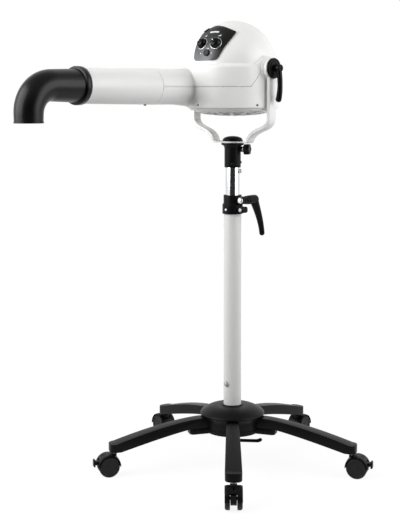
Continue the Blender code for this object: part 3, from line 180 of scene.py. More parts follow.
seen = add(sky, "MixShader", {0: seen_plain(sky, behind), 1: walls, 2: paper})
add(sky, "OutputWorld", {"Surface": seen})


def softbox(name, place, watts, target=(0, 0, 0.8), wide=1.2):
    """A square area lamp that looks at the middle of the object."""
    lamp_data = bpy.data.lights.new(name, "AREA")
    lamp_data.shape = "RECTANGLE"
    lamp_data.size = lamp_data.size_y = wide
    lamp_data.energy = watts
    lamp = bpy.data.objects.new(name, lamp_data)
    bpy.context.scene.collection.objects.link(lamp)
    lamp.location = place
    lamp.rotation_euler = (Vector(target) - Vector(place)).to_track_quat("-Z", "Y").to_euler()


softbox("left_softbox", (-1.28, 0.57, 1.25), 22)
softbox("right_softbox", (0.386, -1.345, 1.14), 13.5)

# %% [markdown]
# ## Floor
# A plain white floor. Near the object the camera sees its real shading, so the soft shadow under the
# casters stays. Further out it turns to plain white paper, so that no grey floor or horizon fills the
# picture. Shiny pieces mirror the paper too, but only as far as it lies: in front it ends and the dark
# side of the studio begins.

# %% Floor
FLOOR_SIZE = 12.0
PAPER_NEAR = 0.86           # share of plain white under the object
SHADE_R = 0.35              # its real shading is seen out to here
PAPER_R = 0.9               # from here out it is all white
MIRROR_NEAR, MIRROR_FAR = 1.1, 0.3      # where the mirrored paper ends, metres towards the camera
PAPER_GLOW = 1.04

bpy.ops.mesh.primitive_plane_add(size=FLOOR_SIZE)
floor = bpy.context.object
floor.name = "studio_floor"
bpy.ops.object.mode_set(mode="EDIT")
bpy.ops.mesh.subdivide(number_cuts=3)
bpy.ops.object.mode_set(mode="OBJECT")
floor_paint, tree = blank_material("matt_studio_paint")
spot = add(tree, "TexCoord").outputs["Object"]
reach = add(tree, "VectorMath", {0: spot}, operation="LENGTH").outputs["Value"]
share = add(
    tree, "MapRange", {"Value": reach, "From Min": SHADE_R, "From Max": PAPER_R, "To Min": PAPER_NEAR},
    interpolation_type="SMOOTHSTEP")
toward = add(tree, "VectorMath", {0: spot, 1: to_eye}, operation="DOT_PRODUCT").outputs["Value"]
lies = add(
    tree, "MapRange", {"Value": toward, "From Min": MIRROR_NEAR, "From Max": MIRROR_FAR},
    interpolation_type="SMOOTHSTEP")
matt = add(tree, "BsdfDiffuse", {"Color": linear("#f4f4f4")})
dull = add(tree, "BsdfDiffuse", {"Color": linear("#9a9a9a")})
glow = add(tree, "Emission", {"Color": WHITE, "Strength": PAPER_GLOW})
blend = add(tree, "MixShader", {0: share, 1: matt, 2: glow})
seen = add(tree, "MixShader", {0: seen_plain(tree, lies), 1: dull, 2: blend})
add(tree, "OutputMaterial", {"Surface": seen})
floor.data.materials.append(floor_paint)
print("floor", FLOOR_SIZE, "m square")

# %% [markdown]
# ## Moulded plastics and paint
# Most of the dryer is injection-moulded plastic: white ABS for the head, black nylon for the stand. Both
# come out of the tool with a fine grain, so a close look shows a slightly uneven sheen rather than one
# flat tone. One recipe makes them all: a noise the size of the grain for the bump, a wider one for the
# sheen and a faint drift of the colour. The grain of the real tool, about 0.3 mm, is too fine for the
# picture, so it is drawn at 1 to 2 mm.

# %% Moulded finishes
def surfaced(made, tree, colour, drift, rough, cloud, bump, **values):
    """The end of every recipe: a noise mixes two colours and varies the sheen, the bump is the grain."""
    tone = add(tree, "Mix", {"Factor": cloud, "A": linear(colour), "B": linear(drift)}, data_type="RGBA")
    sheen = add(
        tree, "MapRange", {"Value": cloud, "From Min": 0.3, "From Max": 0.7, "To Min": rough[0],
            "To Max": rough[1]})
    skin = add(
        tree, "BsdfPrincipled", {"Base Color": tone.outputs["Result"], "Roughness": sheen,
            "Normal": bump})
    for key, value in values.items():
        skin.inputs[key.replace("_", " ")].default_value = value
    add(tree, "OutputMaterial", {"Surface": skin})
    return made


def moulded(name, colour, drift, rough, grain, depth, ior=1.5, shine=0.5, cloud=40 * MM):
    """Plastic or paint. drift is the second colour of the cloud, rough the sheen's range, grain a size."""
    made, tree = blank_material(name)
    place = add(tree, "TexCoord").outputs["Object"]
    wide = add(tree, "TexNoise", {"Vector": place, "Scale": 1 / cloud, "Detail": 3.0})
    fine = add(tree, "TexNoise", {"Vector": place, "Scale": 1 / grain, "Detail": 2.0})
    bump = add(tree, "Bump", {"Strength": 0.5, "Distance": depth, "Height": fine})
    return surfaced(made, tree, colour, drift, rough, wide, bump, IOR=ior, Specular_IOR_Level=shine)


# White ABS: a clean, slightly cool white with a satin sheen.
abs_white = moulded("abs_white_satin", "#efefee", "#eaeae9", (0.30, 0.38), 1.2 * MM, 0.02 * MM, 1.53)
# White powder coat on steel: the same white, with the faint orange peel of baked paint.
powder_white = moulded("powder_coat_white", "#dededd", "#d8d8d7", (0.34, 0.42), 1.6 * MM, 0.03 * MM)
# Black glass-filled nylon: dark grey rather than black, with a fine sparkle grain and a dull sheen.
nylon_black = moulded(
    "nylon_black_grained", "#0a0a0b", "#0f0f10", (0.34, 0.42), 0.9 * MM, 0.03 * MM, 1.53, 0.10)
# Black acetal: the smooth handles and the knob, glossier than the nylon round them.
acetal_black = moulded("acetal_black", "#080809", "#0c0c0d", (0.22, 0.28), 1.4 * MM, 0.01 * MM, 1.48, 0.12)
# Black polypropylene: the elbow, smooth with a soft, wide sheen.
polyprop_black = moulded(
    "polypropylene_black", "#080809", "#0c0c0d", (0.30, 0.34), 1.4 * MM, 0.004 * MM, 1.49, 0.22)
# Polyurethane: the caster treads, matt and slightly dusty.
tread_black = moulded(
    "polyurethane_tread", "#0d0d0d", "#151413", (0.46, 0.60), 1.1 * MM, 0.05 * MM, 1.5, 0.25)
# Gloss black ABS: the two knobs and the push button.
abs_black = moulded("abs_black_gloss", "#080809", "#0b0b0c", (0.13, 0.18), 1.0 * MM, 0.01 * MM, 1.53, 0.14)
# Mica board: brown laminate flakes on the heater.
mica_board = moulded(
    "mica_laminate", "#a28a63", "#8a7350", (0.45, 0.60), 2.0 * MM, 0.05 * MM, 1.58, cloud=8 * MM)
# Solder-masked laminate: the control board's green.
solder_mask = moulded(
    "solder_mask_green", "#1c5a33", "#174d2b", (0.25, 0.35), 1.5 * MM, 0.02 * MM, cloud=6 * MM)
print("plastics and paints", len(bpy.data.materials) - 1)

# %% [markdown]
# ## Metals
# Chrome is a mirror with hair-fine polishing marks along the tube. Zinc plate is a duller grey whose
# crystals catch the light unevenly. The motor's castings are plain aluminium. One recipe serves them all:
# a noise, drawn out along the tube for chrome, makes the marks and varies colour and sheen with them. Two
# finishes of small pieces come last: printed ink and the lens of the indicator lights.

# %% Metal finishes
def metal(name, colour, drift, rough, mark, depth, stretch=(1, 1, 1)):
    """Bare or plated metal; mark is the marks' width, stretch how the noise is drawn out along each axis."""
    made, tree = blank_material(name)
    place = add(tree, "TexCoord").outputs["Object"]
    drawn = add(tree, "Mapping", {"Vector": place, "Scale": stretch})
    marks = add(tree, "TexNoise", {"Vector": drawn, "Scale": 1 / mark, "Detail": 2.0})
    bump = add(tree, "Bump", {"Strength": 0.3, "Distance": depth, "Height": marks})
    return surfaced(made, tree, colour, drift, rough, marks, bump, Metallic=1.0)


# Polished chrome plate: nearly a mirror.
chrome = metal("chrome_polished", "#dcdde0", "#d2d3d6", (0.11, 0.15), 1.5 * MM, 0.00005 * MM, (1, 1, 0.05))
# Zinc plate on screws and stems: grey, soft reflections.
zinc = metal("zinc_plate", "#b9bbbd", "#a6a8ab", (0.28, 0.40), 2.0 * MM, 0.01 * MM)
# Cast aluminium: the motor's end bells.
cast_aluminium = metal("aluminium_cast", "#b0b1b3", "#9a9b9d", (0.42, 0.55), 1.5 * MM, 0.04 * MM)
# Satin aluminium: the knobs' thin rings, the stop pin, the clamp's bright stud head and its set screw.
satin_ring = metal("aluminium_satin", "#e2e3e5", "#d8d9db", (0.34, 0.42), 1.0 * MM, 0.002 * MM)
# Black zinc: dark chromate on the screws, a metal with soft grey edges.
black_zinc = metal("zinc_black_chromate", "#3a3b3d", "#2c2d2f", (0.30, 0.42), 1.5 * MM, 0.01 * MM)
# Screen-printed white ink: the marks on the film and the knobs' pointers, which also paint the knobs'
# highlight.
mark_white = moulded(
    "ink_white_screen_printed", "#e9e9e8", "#dfdfde", (0.30, 0.38), 0.8 * MM, 0.01 * MM, cloud=6 * MM)
# Clear polycarbonate over a pale diffuser: the two unlit indicator lights.
lamp_lens = moulded(
    "polycarbonate_lens_pale", "#e4e6e4", "#d6d9d6", (0.08, 0.14), 1.0 * MM, 0.005 * MM, 1.58,
    cloud=4 * MM)
print("materials in all", len(bpy.data.materials))

# %% [markdown]
# ## Tools for shaping
# Round pieces come off a lathe or out of a round mould. Half of their outline is traced here, point by
# point, by extruding one vertex, and spun round the Z axis. The outline's corners are rounded first,
# because a real edge is never sharp and its small round is what catches the light. A flat outline is
# traced the same way, filled and extruded. A bent bar is a curve with a round section, made a mesh. Two
# closed pieces are joined or cut by a Boolean modifier.

# %% Trace, fill, turn and bend
def select_only(piece):
    """Makes a piece the only one selected."""
    bpy.ops.object.select_all(action="DESELECT")
    piece.select_set(True)
    bpy.context.view_layer.objects.active = piece


def placed(piece, place):
    """Puts a piece where it belongs and leaves that place in its mesh."""
    select_only(piece)
    piece.matrix_world = place
    bpy.ops.object.transform_apply(location=True, rotation=True, scale=True)
    return piece


def softened(corners, closed=False, steps=4):
    """Points of an outline. A corner is (across, up, radius), and a radius over 0 rounds it."""
    points = []
    count = len(corners)
    for index, (across, up, radius) in enumerate(corners):
        here = Vector((across, up))
        if radius == 0 or (not closed and index in (0, count - 1)):
            points.append(here)
            continue
        back = Vector(corners[index - 1][:2]) - here
        ahead = Vector(corners[(index + 1) % count][:2]) - here
        reach = min(radius, back.length * 0.49, ahead.length * 0.49)
        start = here + back.normalized() * reach
        end = here + ahead.normalized() * reach
        for step in range(steps + 1):
            share = step / steps
            points.append(start.lerp(here, share).lerp(here.lerp(end, share), share))
    return points + points[:1] if closed else points


def mm(corners, lift=0.0):
    """Corners written in millimetres, as metres, moved up: (across, up) or (across, up, radius)."""
    return [
        (corner[0] * MM, lift + corner[1] * MM, *(size * MM for size in corner[2:]))
        for corner in corners]


def rectangle(left, low, right, high):
    """A closed rectangle."""
    return [(left, low), (right, low), (right, high), (left, high), (left, low)]


def quarter(steps):
    """Sine and cosine from 0 to a quarter turn."""
    return [(sin(pi / 2 * step / steps), cos(pi / 2 * step / steps)) for step in range(steps + 1)]


def heading(turn):
    """Unit vector in the level plane, a turn away from X."""
    return Vector((cos(turn), sin(turn), 0))


def traced(name, spots):
    """One vertex, extruded from spot to spot. Leaves the new piece in edit mode, all selected."""
    bpy.ops.object.select_all(action="DESELECT")
    bpy.ops.mesh.primitive_plane_add(size=MM)
    piece = bpy.context.object
    piece.name = name
    piece.data.name = name
    bpy.ops.object.mode_set(mode="EDIT")
    bpy.ops.mesh.merge(type="CENTER")
    spots = [Vector(spot) for spot in spots]
    bpy.ops.transform.translate(value=spots[0])
    for here, there in zip(spots, spots[1:]):
        bpy.ops.mesh.extrude_vertices_move(TRANSFORM_OT_translate={"value": there - here})
    bpy.ops.mesh.select_all(action="SELECT")
    return piece


def closed_up():
    """Merges doubles, turns all faces outwards and leaves edit mode."""
    bpy.ops.mesh.select_all(action="SELECT")
    bpy.ops.mesh.remove_doubles(threshold=0.004 * MM)
    bpy.ops.mesh.normals_make_consistent(inside=False)
    bpy.ops.object.mode_set(mode="OBJECT")


def turned(name, outline, place=Matrix(), steps=72, closed=False):
    """A turned piece from its half outline of (radius, height), softened if its corners have a radius."""
    outline = softened(outline, closed) if len(outline[0]) == 3 else outline
    piece = traced(name, [(radius, 0, height) for radius, height in outline])
    bpy.ops.mesh.spin(steps=steps, angle=tau, center=(0, 0, 0), axis=(0, 0, 1))
    closed_up()
    return placed(piece, place)


def slab(name, outline, low, high, place=Matrix()):
    """A flat outline of (x, y), softened likewise, filled and extruded from one height to another."""
    outline = softened(outline, True) if len(outline[0]) == 3 else outline
    piece = traced(name, [(across, up, low) for across, up in outline])
    bpy.ops.mesh.remove_doubles(threshold=0.004 * MM)
    bpy.ops.mesh.edge_face_add()
    bpy.ops.mesh.extrude_region_move(TRANSFORM_OT_translate={"value": (0, 0, high - low)})
    closed_up()
    return placed(piece, place)


def bent(name, path, radii, sides=32):
    """A solid round bar along a path, with a radius at each point."""
    route = bpy.data.curves.new(name, "CURVE")
    route.dimensions = "3D"
    route.bevel_depth = 1.0
    route.bevel_resolution = sides // 2 - 2
    route.use_fill_caps = True
    line = route.splines.new("POLY")
    line.points.add(len(path) - 1)
    for knot, spot, radius in zip(line.points, path, radii):
        knot.co = (*spot, 1)
        knot.radius = radius
    piece = bpy.data.objects.new(name, route)
    bpy.context.scene.collection.objects.link(piece)
    select_only(piece)
    bpy.ops.object.convert(target="MESH")
    piece = bpy.context.object
    bpy.ops.object.mode_set(mode="EDIT")
    closed_up()
    return piece


def merged(piece, tool, how="UNION"):
    """Joins a second piece to a first, or cuts with it; the second is used up."""
    select_only(piece)
    step = piece.modifiers.new("step", "BOOLEAN")
    step.operation = how
    step.object = tool
    step.solver = "MANIFOLD"
    bpy.ops.object.modifier_apply(modifier="step")
    bpy.data.objects.remove(tool)
    return piece


def bored(piece, radius, start, end, place=Matrix(), steps=32):
    """Drills a round hole along Z of a place, from one distance to another."""
    bit = turned("bore", [(0, start), (radius, start), (radius, end), (0, end)], place, steps)
    return merged(piece, bit, "DIFFERENCE")


def copied(piece, name, place=Matrix()):
    """A copy with a mesh of its own, moved to a place."""
    twin = bpy.data.objects.new(name, piece.data.copy())
    twin.data.name = name
    bpy.context.scene.collection.objects.link(twin)
    return placed(twin, place)


def modified(piece, kind, **settings):
    """Adds a modifier with its settings and applies it."""
    select_only(piece)
    step = piece.modifiers.new("step", kind)
    for key, value in settings.items():
        setattr(step, key, value)
    bpy.ops.object.modifier_apply(modifier="step")
    return piece


def edged(piece, width, segments=3, angle=50):
    """Rounds the edges that are sharper than an angle."""
    return modified(
        piece, "BEVEL", width=width, segments=segments, limit_method="ANGLE", angle_limit=radians(angle))


def round_end(path, sizes):
    """Closes the end of a bar with half a ball: more points of its path and their sizes."""
    last, size = path[-1], sizes[-1]
    along = (last - path[-2]).normalized()
    for share in (0.3, 0.6, 0.8, 0.93, 1.0):
        path.append(last + along * size * MM * 0.9 * share)
        sizes.append(size * sqrt(max(1 - share ** 2, 0.02)))


def side_on(x=0.0, z=0.0):
    """A place for an outline that is seen from the side: across is X, up is Z."""
    return Matrix(((1, 0, 0, x), (0, 0, -1, 0), (0, 1, 0, z), (0, 0, 0, 1)))


END_ON = Matrix(((0, 0, 1, 0), (1, 0, 0, 0), (0, 1, 0, 0), (0, 0, 0, 1)))    # the same along X: across is Y


def aimed(direction, spot=(0, 0, 0)):
    """A place whose Z axis looks along a direction."""
    return Matrix.Translation(spot) @ Vector(direction).to_track_quat("Z", "Y").to_matrix().to_4x4()


print("shaping tools ready")

# %% [markdown]
# ## Dressing a piece
# Every piece gets smooth shading up to its real edges, a material and the body that it moves with. A
# piece that stands for one of the imported solids says so, and that solid is hidden. Where a solid's
# shape is already right, a copy of it is enough: its loose triangles are merged, those in one plane
# become one face, and a bevel rounds the edges as a mould or a file would.

# %% Dress a piece, or finish a copy of a solid
joint = {row["name"]: row for row in frame["record"]["behaviour"]["joints"]}
slot_of = {row["node"]: row["material_slot"] for row in frame["record"]["subparts"]}
body_of = {
    node: body for body, members in frame["record"]["behaviour"]["bodies"].items() for node in members}
shown = set()


def dressed(piece, body, material, node=None, smooth=32):
    """Shading, material and body of a finished piece, and the solid that it stands for."""
    select_only(piece)
    bpy.ops.object.shade_smooth_by_angle(angle=radians(smooth))
    piece.data.materials.clear()
    piece.data.materials.append(material)
    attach(piece, body)
    if node:
        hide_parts(node)
        shown.add(node)
    return piece


def stand_in(piece, node, material, smooth=32):
    """Dresses a piece that stands for a solid: its body is the solid's own."""
    return dressed(piece, body_of[node], material, node, smooth)


def finished(node, material, edge=0.8 * MM, angle=32, segments=2):
    """A copy of a solid with rounded edges, in its place on its body."""
    piece = copied(nodes[node], node + "_finished")
    select_only(piece)
    bpy.ops.object.mode_set(mode="EDIT")
    bpy.ops.mesh.select_all(action="SELECT")
    bpy.ops.mesh.remove_doubles(threshold=0.02 * MM)
    bpy.ops.mesh.dissolve_limited(angle_limit=radians(0.6))
    bpy.ops.object.mode_set(mode="OBJECT")
    edged(piece, edge, segments, angle)
    return stand_in(piece, node, material, angle)


print(len(joint), "joints,", len(slot_of), "solids to dress")

# %% [markdown]
# ## Head housing
# The head is two mouldings. The upper one has the dome, the lower one the drum, and the seam between them
# runs level round the drum and along the nozzle's root, but climbs in two slants to the tilt joint, so
# that the joint's boss is shared by both halves. The drum stands a little proud of the dome and rises
# round the joint as a flat pad. Making the halves one by one would leave their surfaces out of line, so
# the whole head is made first, as one solid: a turned dome and drum, the nozzle's root, the pads and the
# bosses. A voxel remesh melts them together, and smoothing rounds the valley where the root leaves the
# drum, as the tool's cutter would.

# %% Whole head
TILT_Z = joint["head_tilt"]["pos_m"][2]
NOZZLE_Y, SEAM_Z = joint["elbow_turn"]["pos_m"][1:]
DOME_R = 97.5 * MM
DOME_UP = 10.5 * MM
DOME_Z = TILT_Z + DOME_UP
DRUM_R = 102 * MM
DRUM_LOW = TILT_Z - 88 * MM
LEDGE_Z = TILT_Z + 8 * MM
ROOT_R = 39 * MM            # nozzle's root where it ends
ROOT_TALL = 44 * MM         # its half height where it leaves the drum
ROOT_END = 197 * MM
WALL = 3 * MM
BOSS_R = 24 * MM
BOSS_Y = 105.8 * MM
STUD_HOLE_R = 5.3 * MM
VOXEL = 1.7 * MM
VALLEY = 14 * MM            # how far from drum and root the valley is smoothed
PAD_LOW, PAD_HIGH = TILT_Z - 40 * MM, TILT_Z + 40 * MM
ALONG_NOZZLE = Matrix(((0, 0, -1, 0), (-1, 0, 0, NOZZLE_Y), (0, 1, 0, SEAM_Z), (0, 0, 0, 1)))
near_side = aimed((0, -1, 0), (0, 0, TILT_Z))
far_side = aimed((0, 1, 0), (0, 0, TILT_Z))


def head_outline(inset, low):
    """Half outline of dome and drum, a depth under the outer skin, down to a height."""
    dome = [((DOME_R - inset) * wide, DOME_Z + (DOME_R - inset) * up) for wide, up in quarter(24)]
    ledge = LEDGE_Z - inset
    drum = softened(
        [(DOME_R - inset, DOME_Z, 0), (DOME_R - inset, ledge, 0.5 * MM),
            (DOME_R - inset + 2.6 * MM, ledge - 0.4 * MM, 1.3 * MM),
            (DRUM_R - inset, ledge - 4.5 * MM, 2.6 * MM), (DRUM_R - inset, low, 0)])
    return dome + [tuple(point) for point in drum[1:]]


def nozzle_root(name, inset, end):
    """The nozzle's root: a round face, extruded from station to station and scaled at each one."""
    stations = [(0.2 * DRUM_R, ROOT_R * 0.85, ROOT_TALL)]
    for step in range(13):
        share = step / 12
        reach = 0.6 * DRUM_R + (1.35 - 0.6) * DRUM_R * share
        ease = share * share * (3 - 2 * share)
        stations.append(
            (reach, ROOT_R * (0.97 + 0.03 * min(share * 3, 1)), ROOT_TALL + (ROOT_R - ROOT_TALL) * ease))
    stations.append((end, ROOT_R, ROOT_R))
    bpy.ops.object.select_all(action="DESELECT")
    bpy.ops.mesh.primitive_circle_add(vertices=80, radius=1, fill_type="NGON")
    piece = bpy.context.object
    piece.name = name
    bpy.ops.object.mode_set(mode="EDIT")
    wide, tall, here = 1.0, 1.0, 0.0
    for index, (reach, half, high) in enumerate(stations):
        step = (0, 0, reach - here)
        if index:
            bpy.ops.mesh.extrude_region_move(TRANSFORM_OT_translate={"value": step})
        else:
            bpy.ops.transform.translate(value=step)
        bpy.ops.transform.resize(
            value=((half - inset) / wide, (high - inset) / tall, 1), center_override=(0, 0, reach))
        wide, tall, here = half - inset, high - inset, reach
    closed_up()
    return placed(piece, ALONG_NOZZLE)


skin = [(across, up, 0) for across, up in head_outline(0, DRUM_LOW + 6 * MM)]
skin += [(DRUM_R, DRUM_LOW, 5 * MM), (0, DRUM_LOW, 0)]
head = turned("head_body", skin, steps=144)
merged(head, nozzle_root("head_root", 0, ROOT_END + 4 * MM))
pad = slab(
    "head_pads", mm([(-40, -12), (40, -12), (38, 8), (12, 26.5), (-12, 26.5), (-38, 8), (-40, -12)]),
    -DRUM_R - 5 * MM, DRUM_R + 5 * MM, side_on(z=TILT_Z))
drum_skin = turned(
    "drum_skin", [(0, PAD_HIGH), (DRUM_R, PAD_HIGH), (DRUM_R, PAD_LOW), (0, PAD_LOW)], steps=144)
merged(head, merged(pad, drum_skin, "INTERSECT"))
for side in (near_side, far_side):
    merged(
        head, turned("head_boss", [(0, BOSS_Y, 0), (BOSS_R, BOSS_Y, 1.2 * MM), (BOSS_R, 80 * MM, 0),
            (0, 80 * MM, 0)], side))
modified(head, "REMESH", mode="VOXEL", voxel_size=VOXEL)
modified(head, "SMOOTH", factor=0.5, iterations=5)
valley = head.vertex_groups.new(name="valley")
for spot in head.data.vertices:
    x, y, z = spot.co
    from_drum = abs(sqrt(x * x + y * y) - DRUM_R)
    from_root = abs(sqrt((y - NOZZLE_Y) ** 2 + (z - SEAM_Z) ** 2) - ROOT_R)
    if x < -0.3 * DRUM_R:
        valley.add([spot.index], max(0, 1 - from_drum / VALLEY) * max(0, 1 - from_root / VALLEY), "REPLACE")
modified(head, "SMOOTH", factor=0.5, iterations=60, vertex_group="valley")
head.vertex_groups.clear()
print("head body", len(head.data.polygons), "faces")

# %% [markdown]
# ## Hollow head, split at the seam
# The solid is hollowed by a smaller copy of the same outline, with the round intake opening at its foot,
# and bored for the tilt studs, the knob shafts and the cover screws. A thin band along the seam, less a
# copy of the head that is a little smaller, cuts a shallow groove first. Then two slabs with the seam's
# outline keep the upper and the lower half, with a hair-fine gap in the middle of that groove.

# %% Hollow and split
INTAKE_R = 84 * MM
SEAM_GAP = 0.5 * MM
SEAM_FOOT = 46 * MM         # half width of the rising part, at its foot
SEAM_TOP = 17 * MM
SCREW_TURNS = [radians(turn) for turn in (172, 252, 342, 72)]
SCREW_Z = TILT_Z - 80 * MM
GROOVE_WIDE = 2.2 * MM      # the soft line that the two mould edges leave
GROOVE_DEEP = 1.4 * MM
FAR = 0.2                   # metres, past the head on every side


def seam_line(lift, start=-ROOT_END):
    """The seam, seen from the side, moved up or down: level, and risen to the tilt joint."""
    level, top = SEAM_Z + lift, TILT_Z + lift
    return [
        (start, level), (-SEAM_FOOT, level), (-SEAM_TOP, top), (SEAM_TOP, top), (SEAM_FOOT, level),
        (FAR, level)]


def seam_slab(name, low, high):
    """All that lies between two outlines that are seen from the side."""
    outline = low + high[::-1] + low[:1]
    return slab(name, outline, -FAR, FAR, side_on())


under_skin = copied(head, "under_skin")
modified(under_skin, "DISPLACE", strength=-GROOVE_DEEP, mid_level=0.0)
groove = seam_slab("seam_groove", seam_line(-GROOVE_WIDE / 2, -0.22), seam_line(GROOVE_WIDE / 2, -0.22))
merged(groove, under_skin, "DIFFERENCE")
merged(head, groove, "DIFFERENCE")

core = head_outline(WALL, DRUM_LOW + WALL)
core += [(INTAKE_R, DRUM_LOW + WALL), (INTAKE_R, DRUM_LOW - WALL), (0, DRUM_LOW - WALL)]
merged(head, turned("head_core", core, steps=96), "DIFFERENCE")
merged(head, nozzle_root("root_core", WALL, ROOT_END + 8 * MM), "DIFFERENCE")
for side in (near_side, far_side):
    bored(head, STUD_HOLE_R, 120 * MM, 80 * MM, side, 24)
for name in ("heat_knob_turn", "speed_knob_turn", "button_press"):
    way = Vector(joint[name]["axis"]) * (-1 if name == "button_press" else 1)
    bored(head, 3.4 * MM, 110 * MM, 80 * MM, aimed(way, (0, 0, DOME_Z)), 24)
for turn in SCREW_TURNS:
    well = mm([(0, 110), (3.0, 110), (2.6, 97), (0, 97)])
    merged(head, turned("screw_well", well, aimed(heading(turn), (0, 0, SCREW_Z)), 20), "DIFFERENCE")

lower = copied(head, "drum_moulding")
upper = head
upper.name = "dome_moulding"
sky_line = [(-ROOT_END, TILT_Z + FAR), (FAR, TILT_Z + FAR)]
floor_line = [(-ROOT_END, DRUM_LOW - 0.1), (FAR, DRUM_LOW - 0.1)]
merged(upper, seam_slab("above_seam", seam_line(SEAM_GAP / 2), sky_line), "INTERSECT")
merged(lower, seam_slab("below_seam", floor_line, seam_line(-SEAM_GAP / 2)), "INTERSECT")
stand_in(upper, "upper_housing", abs_white, 38)
stand_in(lower, "lower_housing", abs_white, 38)
print("upper", len(upper.data.polygons), "lower", len(lower.data.polygons), "faces")

# %% [markdown]
# ## Nozzle tube and elbow
# The long tube is a plain moulding that tapers a little to its end, so it is turned. The black elbow is
# pushed over it and turns on it: a flange band, a leg and a tight bend that narrows to the outlet's thin
# lip. Its body is a round bar along the bend with a radius at each point, and a thinner bar is cut out of
# it for the bore.

# %% Nozzle tube and elbow
FLANGE_X = -joint["elbow_turn"]["pos_m"][0]
TIP_X = FLANGE_X + 10 * MM
TIP_R = 36.5 * MM
TUBE_WALL = 2.5 * MM
LEG, BEND, DROP = 77 * MM, 55 * MM, 19 * MM

nozzle = turned(
    "nozzle_sleeve", [(ROOT_R - TUBE_WALL, ROOT_END + 0.6 * MM, 0.3 * MM),
        (ROOT_R, ROOT_END + 0.6 * MM, 0.7 * MM), (TIP_R, TIP_X, 0.5 * MM),
        (TIP_R - TUBE_WALL, TIP_X, 0.5 * MM)], ALONG_NOZZLE, 96, closed=True)
stand_in(nozzle, "nozzle_tube", abs_white)


def elbow_spot(along):
    """A point of the elbow's centre line, a distance from its flange."""
    swing = pi / 2 * BEND
    corner = -FLANGE_X - LEG
    if along <= LEG:
        return Vector((-FLANGE_X - along, NOZZLE_Y, SEAM_Z))
    if along <= LEG + swing:
        turn = (along - LEG) / BEND
        return Vector((corner - BEND * sin(turn), NOZZLE_Y, SEAM_Z - BEND * (1 - cos(turn))))
    return Vector((corner - BEND, NOZZLE_Y, SEAM_Z - BEND - (along - LEG - swing)))


def elbow_bar(name, stations, sides):
    """A round bar along the elbow, from stations of distance and radius."""
    return bent(
        name, [elbow_spot(along) for along, size in stations], [size for along, size in stations], sides)


ELBOW_L = LEG + pi / 2 * BEND + DROP
LEG_R, OUT_R = 34.5 * MM, 28.5 * MM
stations = mm(
    [(0, 38.6), (0.35, 39.2), (0.9, 39.5), (11.2, 39.5), (12.0, 39.2), (12.4, 38.5), (12.5, 35.2),
        (13.2, 34.2), (14.2, 34.3)])
for step in range(41):
    along = 16.5 * MM + (ELBOW_L - 6 * MM - 16.5 * MM) * step / 40
    stations.append((along, LEG_R + (OUT_R - LEG_R) * along / ELBOW_L))
stations += [
    (ELBOW_L - 3.6 * MM, OUT_R + 0.1 * MM), (ELBOW_L - 3.0 * MM, OUT_R + 0.9 * MM),
    (ELBOW_L - 0.5 * MM, OUT_R + 1.0 * MM), (ELBOW_L, OUT_R + 0.6 * MM)]
elbow = elbow_bar("elbow_moulding", stations, 72)
bore = mm([(-5, 0.4), (10.2, 0.4)], TIP_R) + mm([(10.3, -3)], LEG_R)
for step in range(31):
    along = 14 * MM + (ELBOW_L - 14 * MM) * step / 30
    bore.append((along, LEG_R - 3 * MM + (OUT_R - LEG_R) * along / ELBOW_L))
bore.append((ELBOW_L + 5 * MM, OUT_R - 2.4 * MM))
merged(elbow, elbow_bar("elbow_bore", bore, 48), "DIFFERENCE")
stand_in(elbow, "elbow", polyprop_black, 40)

screw = turned(
    "tube_screw", mm([(0, 2.6, 0), (2.9, 2.4, 1.0), (3.2, -1.0, 0.3), (0, -1.0, 0)]),
    aimed((0, 0, -1), (-215 * MM, NOZZLE_Y, SEAM_Z - 38.6 * MM)), 32)
dressed(screw, "head", black_zinc)
print("elbow", len(elbow.data.polygons), "faces, length", round(ELBOW_L, 3))

# %% [markdown]
# ## Intake grille and head screws
# Under the drum the air comes in through a white moulded grille: a narrow rim and a shallow bowl with
# radial slots. The bowl is turned and the slots are cut by one set of wedge-shaped bars, since a slot
# widens with its radius. Two standing rings tie the ribs and close the view straight through the bowl.
# The screws that hold the halves sit deep in four wells on the drum.

# %% Intake grille and head screws
GRILLE_R = DRUM_R - 5 * MM
GRILLE_RIM = 4.2 * MM
GRILLE_BELLY = 12 * MM
GRILLE_T = 2.5 * MM
SLOT_END = INTAKE_R - 3 * MM
RING_T = 2.8 * MM
SLOTS = 16
SLOT_START = radians(4.4)      # puts two ribs where the camera sees them
rim_top = DRUM_LOW - 0.3 * MM
rim_low = rim_top - GRILLE_RIM
bowl = [(INTAKE_R * wide, rim_low - GRILLE_BELLY * down, 0) for wide, down in quarter(14)]
bowl += [
    (GRILLE_R - 3 * MM, rim_low, 2.0 * MM), (GRILLE_R, rim_top - 1.6 * MM, 1.0 * MM),
    (GRILLE_R, rim_top, 0.4 * MM), (INTAKE_R - GRILLE_T, rim_top, 0.5 * MM)]
bowl += [
    (radius * (1 - GRILLE_T / INTAKE_R), height + GRILLE_T, 0) for radius, height, soft in bowl[13::-1]]
grille = turned("intake_bowl", bowl, steps=120)
wedge = slab(
    "wedge", mm([(30, -2.6, 1.8)]) + [(SLOT_END, -12.4 * MM, 3.0 * MM), (SLOT_END, 12.4 * MM, 3.0 * MM)]
    + mm([(30, 2.6, 1.8)]), rim_low - 20 * MM, rim_top + 5 * MM)
for slot in range(SLOTS):
    turn = Matrix.Rotation(SLOT_START + tau * slot / SLOTS, 4, "Z")
    merged(grille, copied(wedge, "slot", turn), "DIFFERENCE")
bpy.data.objects.remove(wedge)
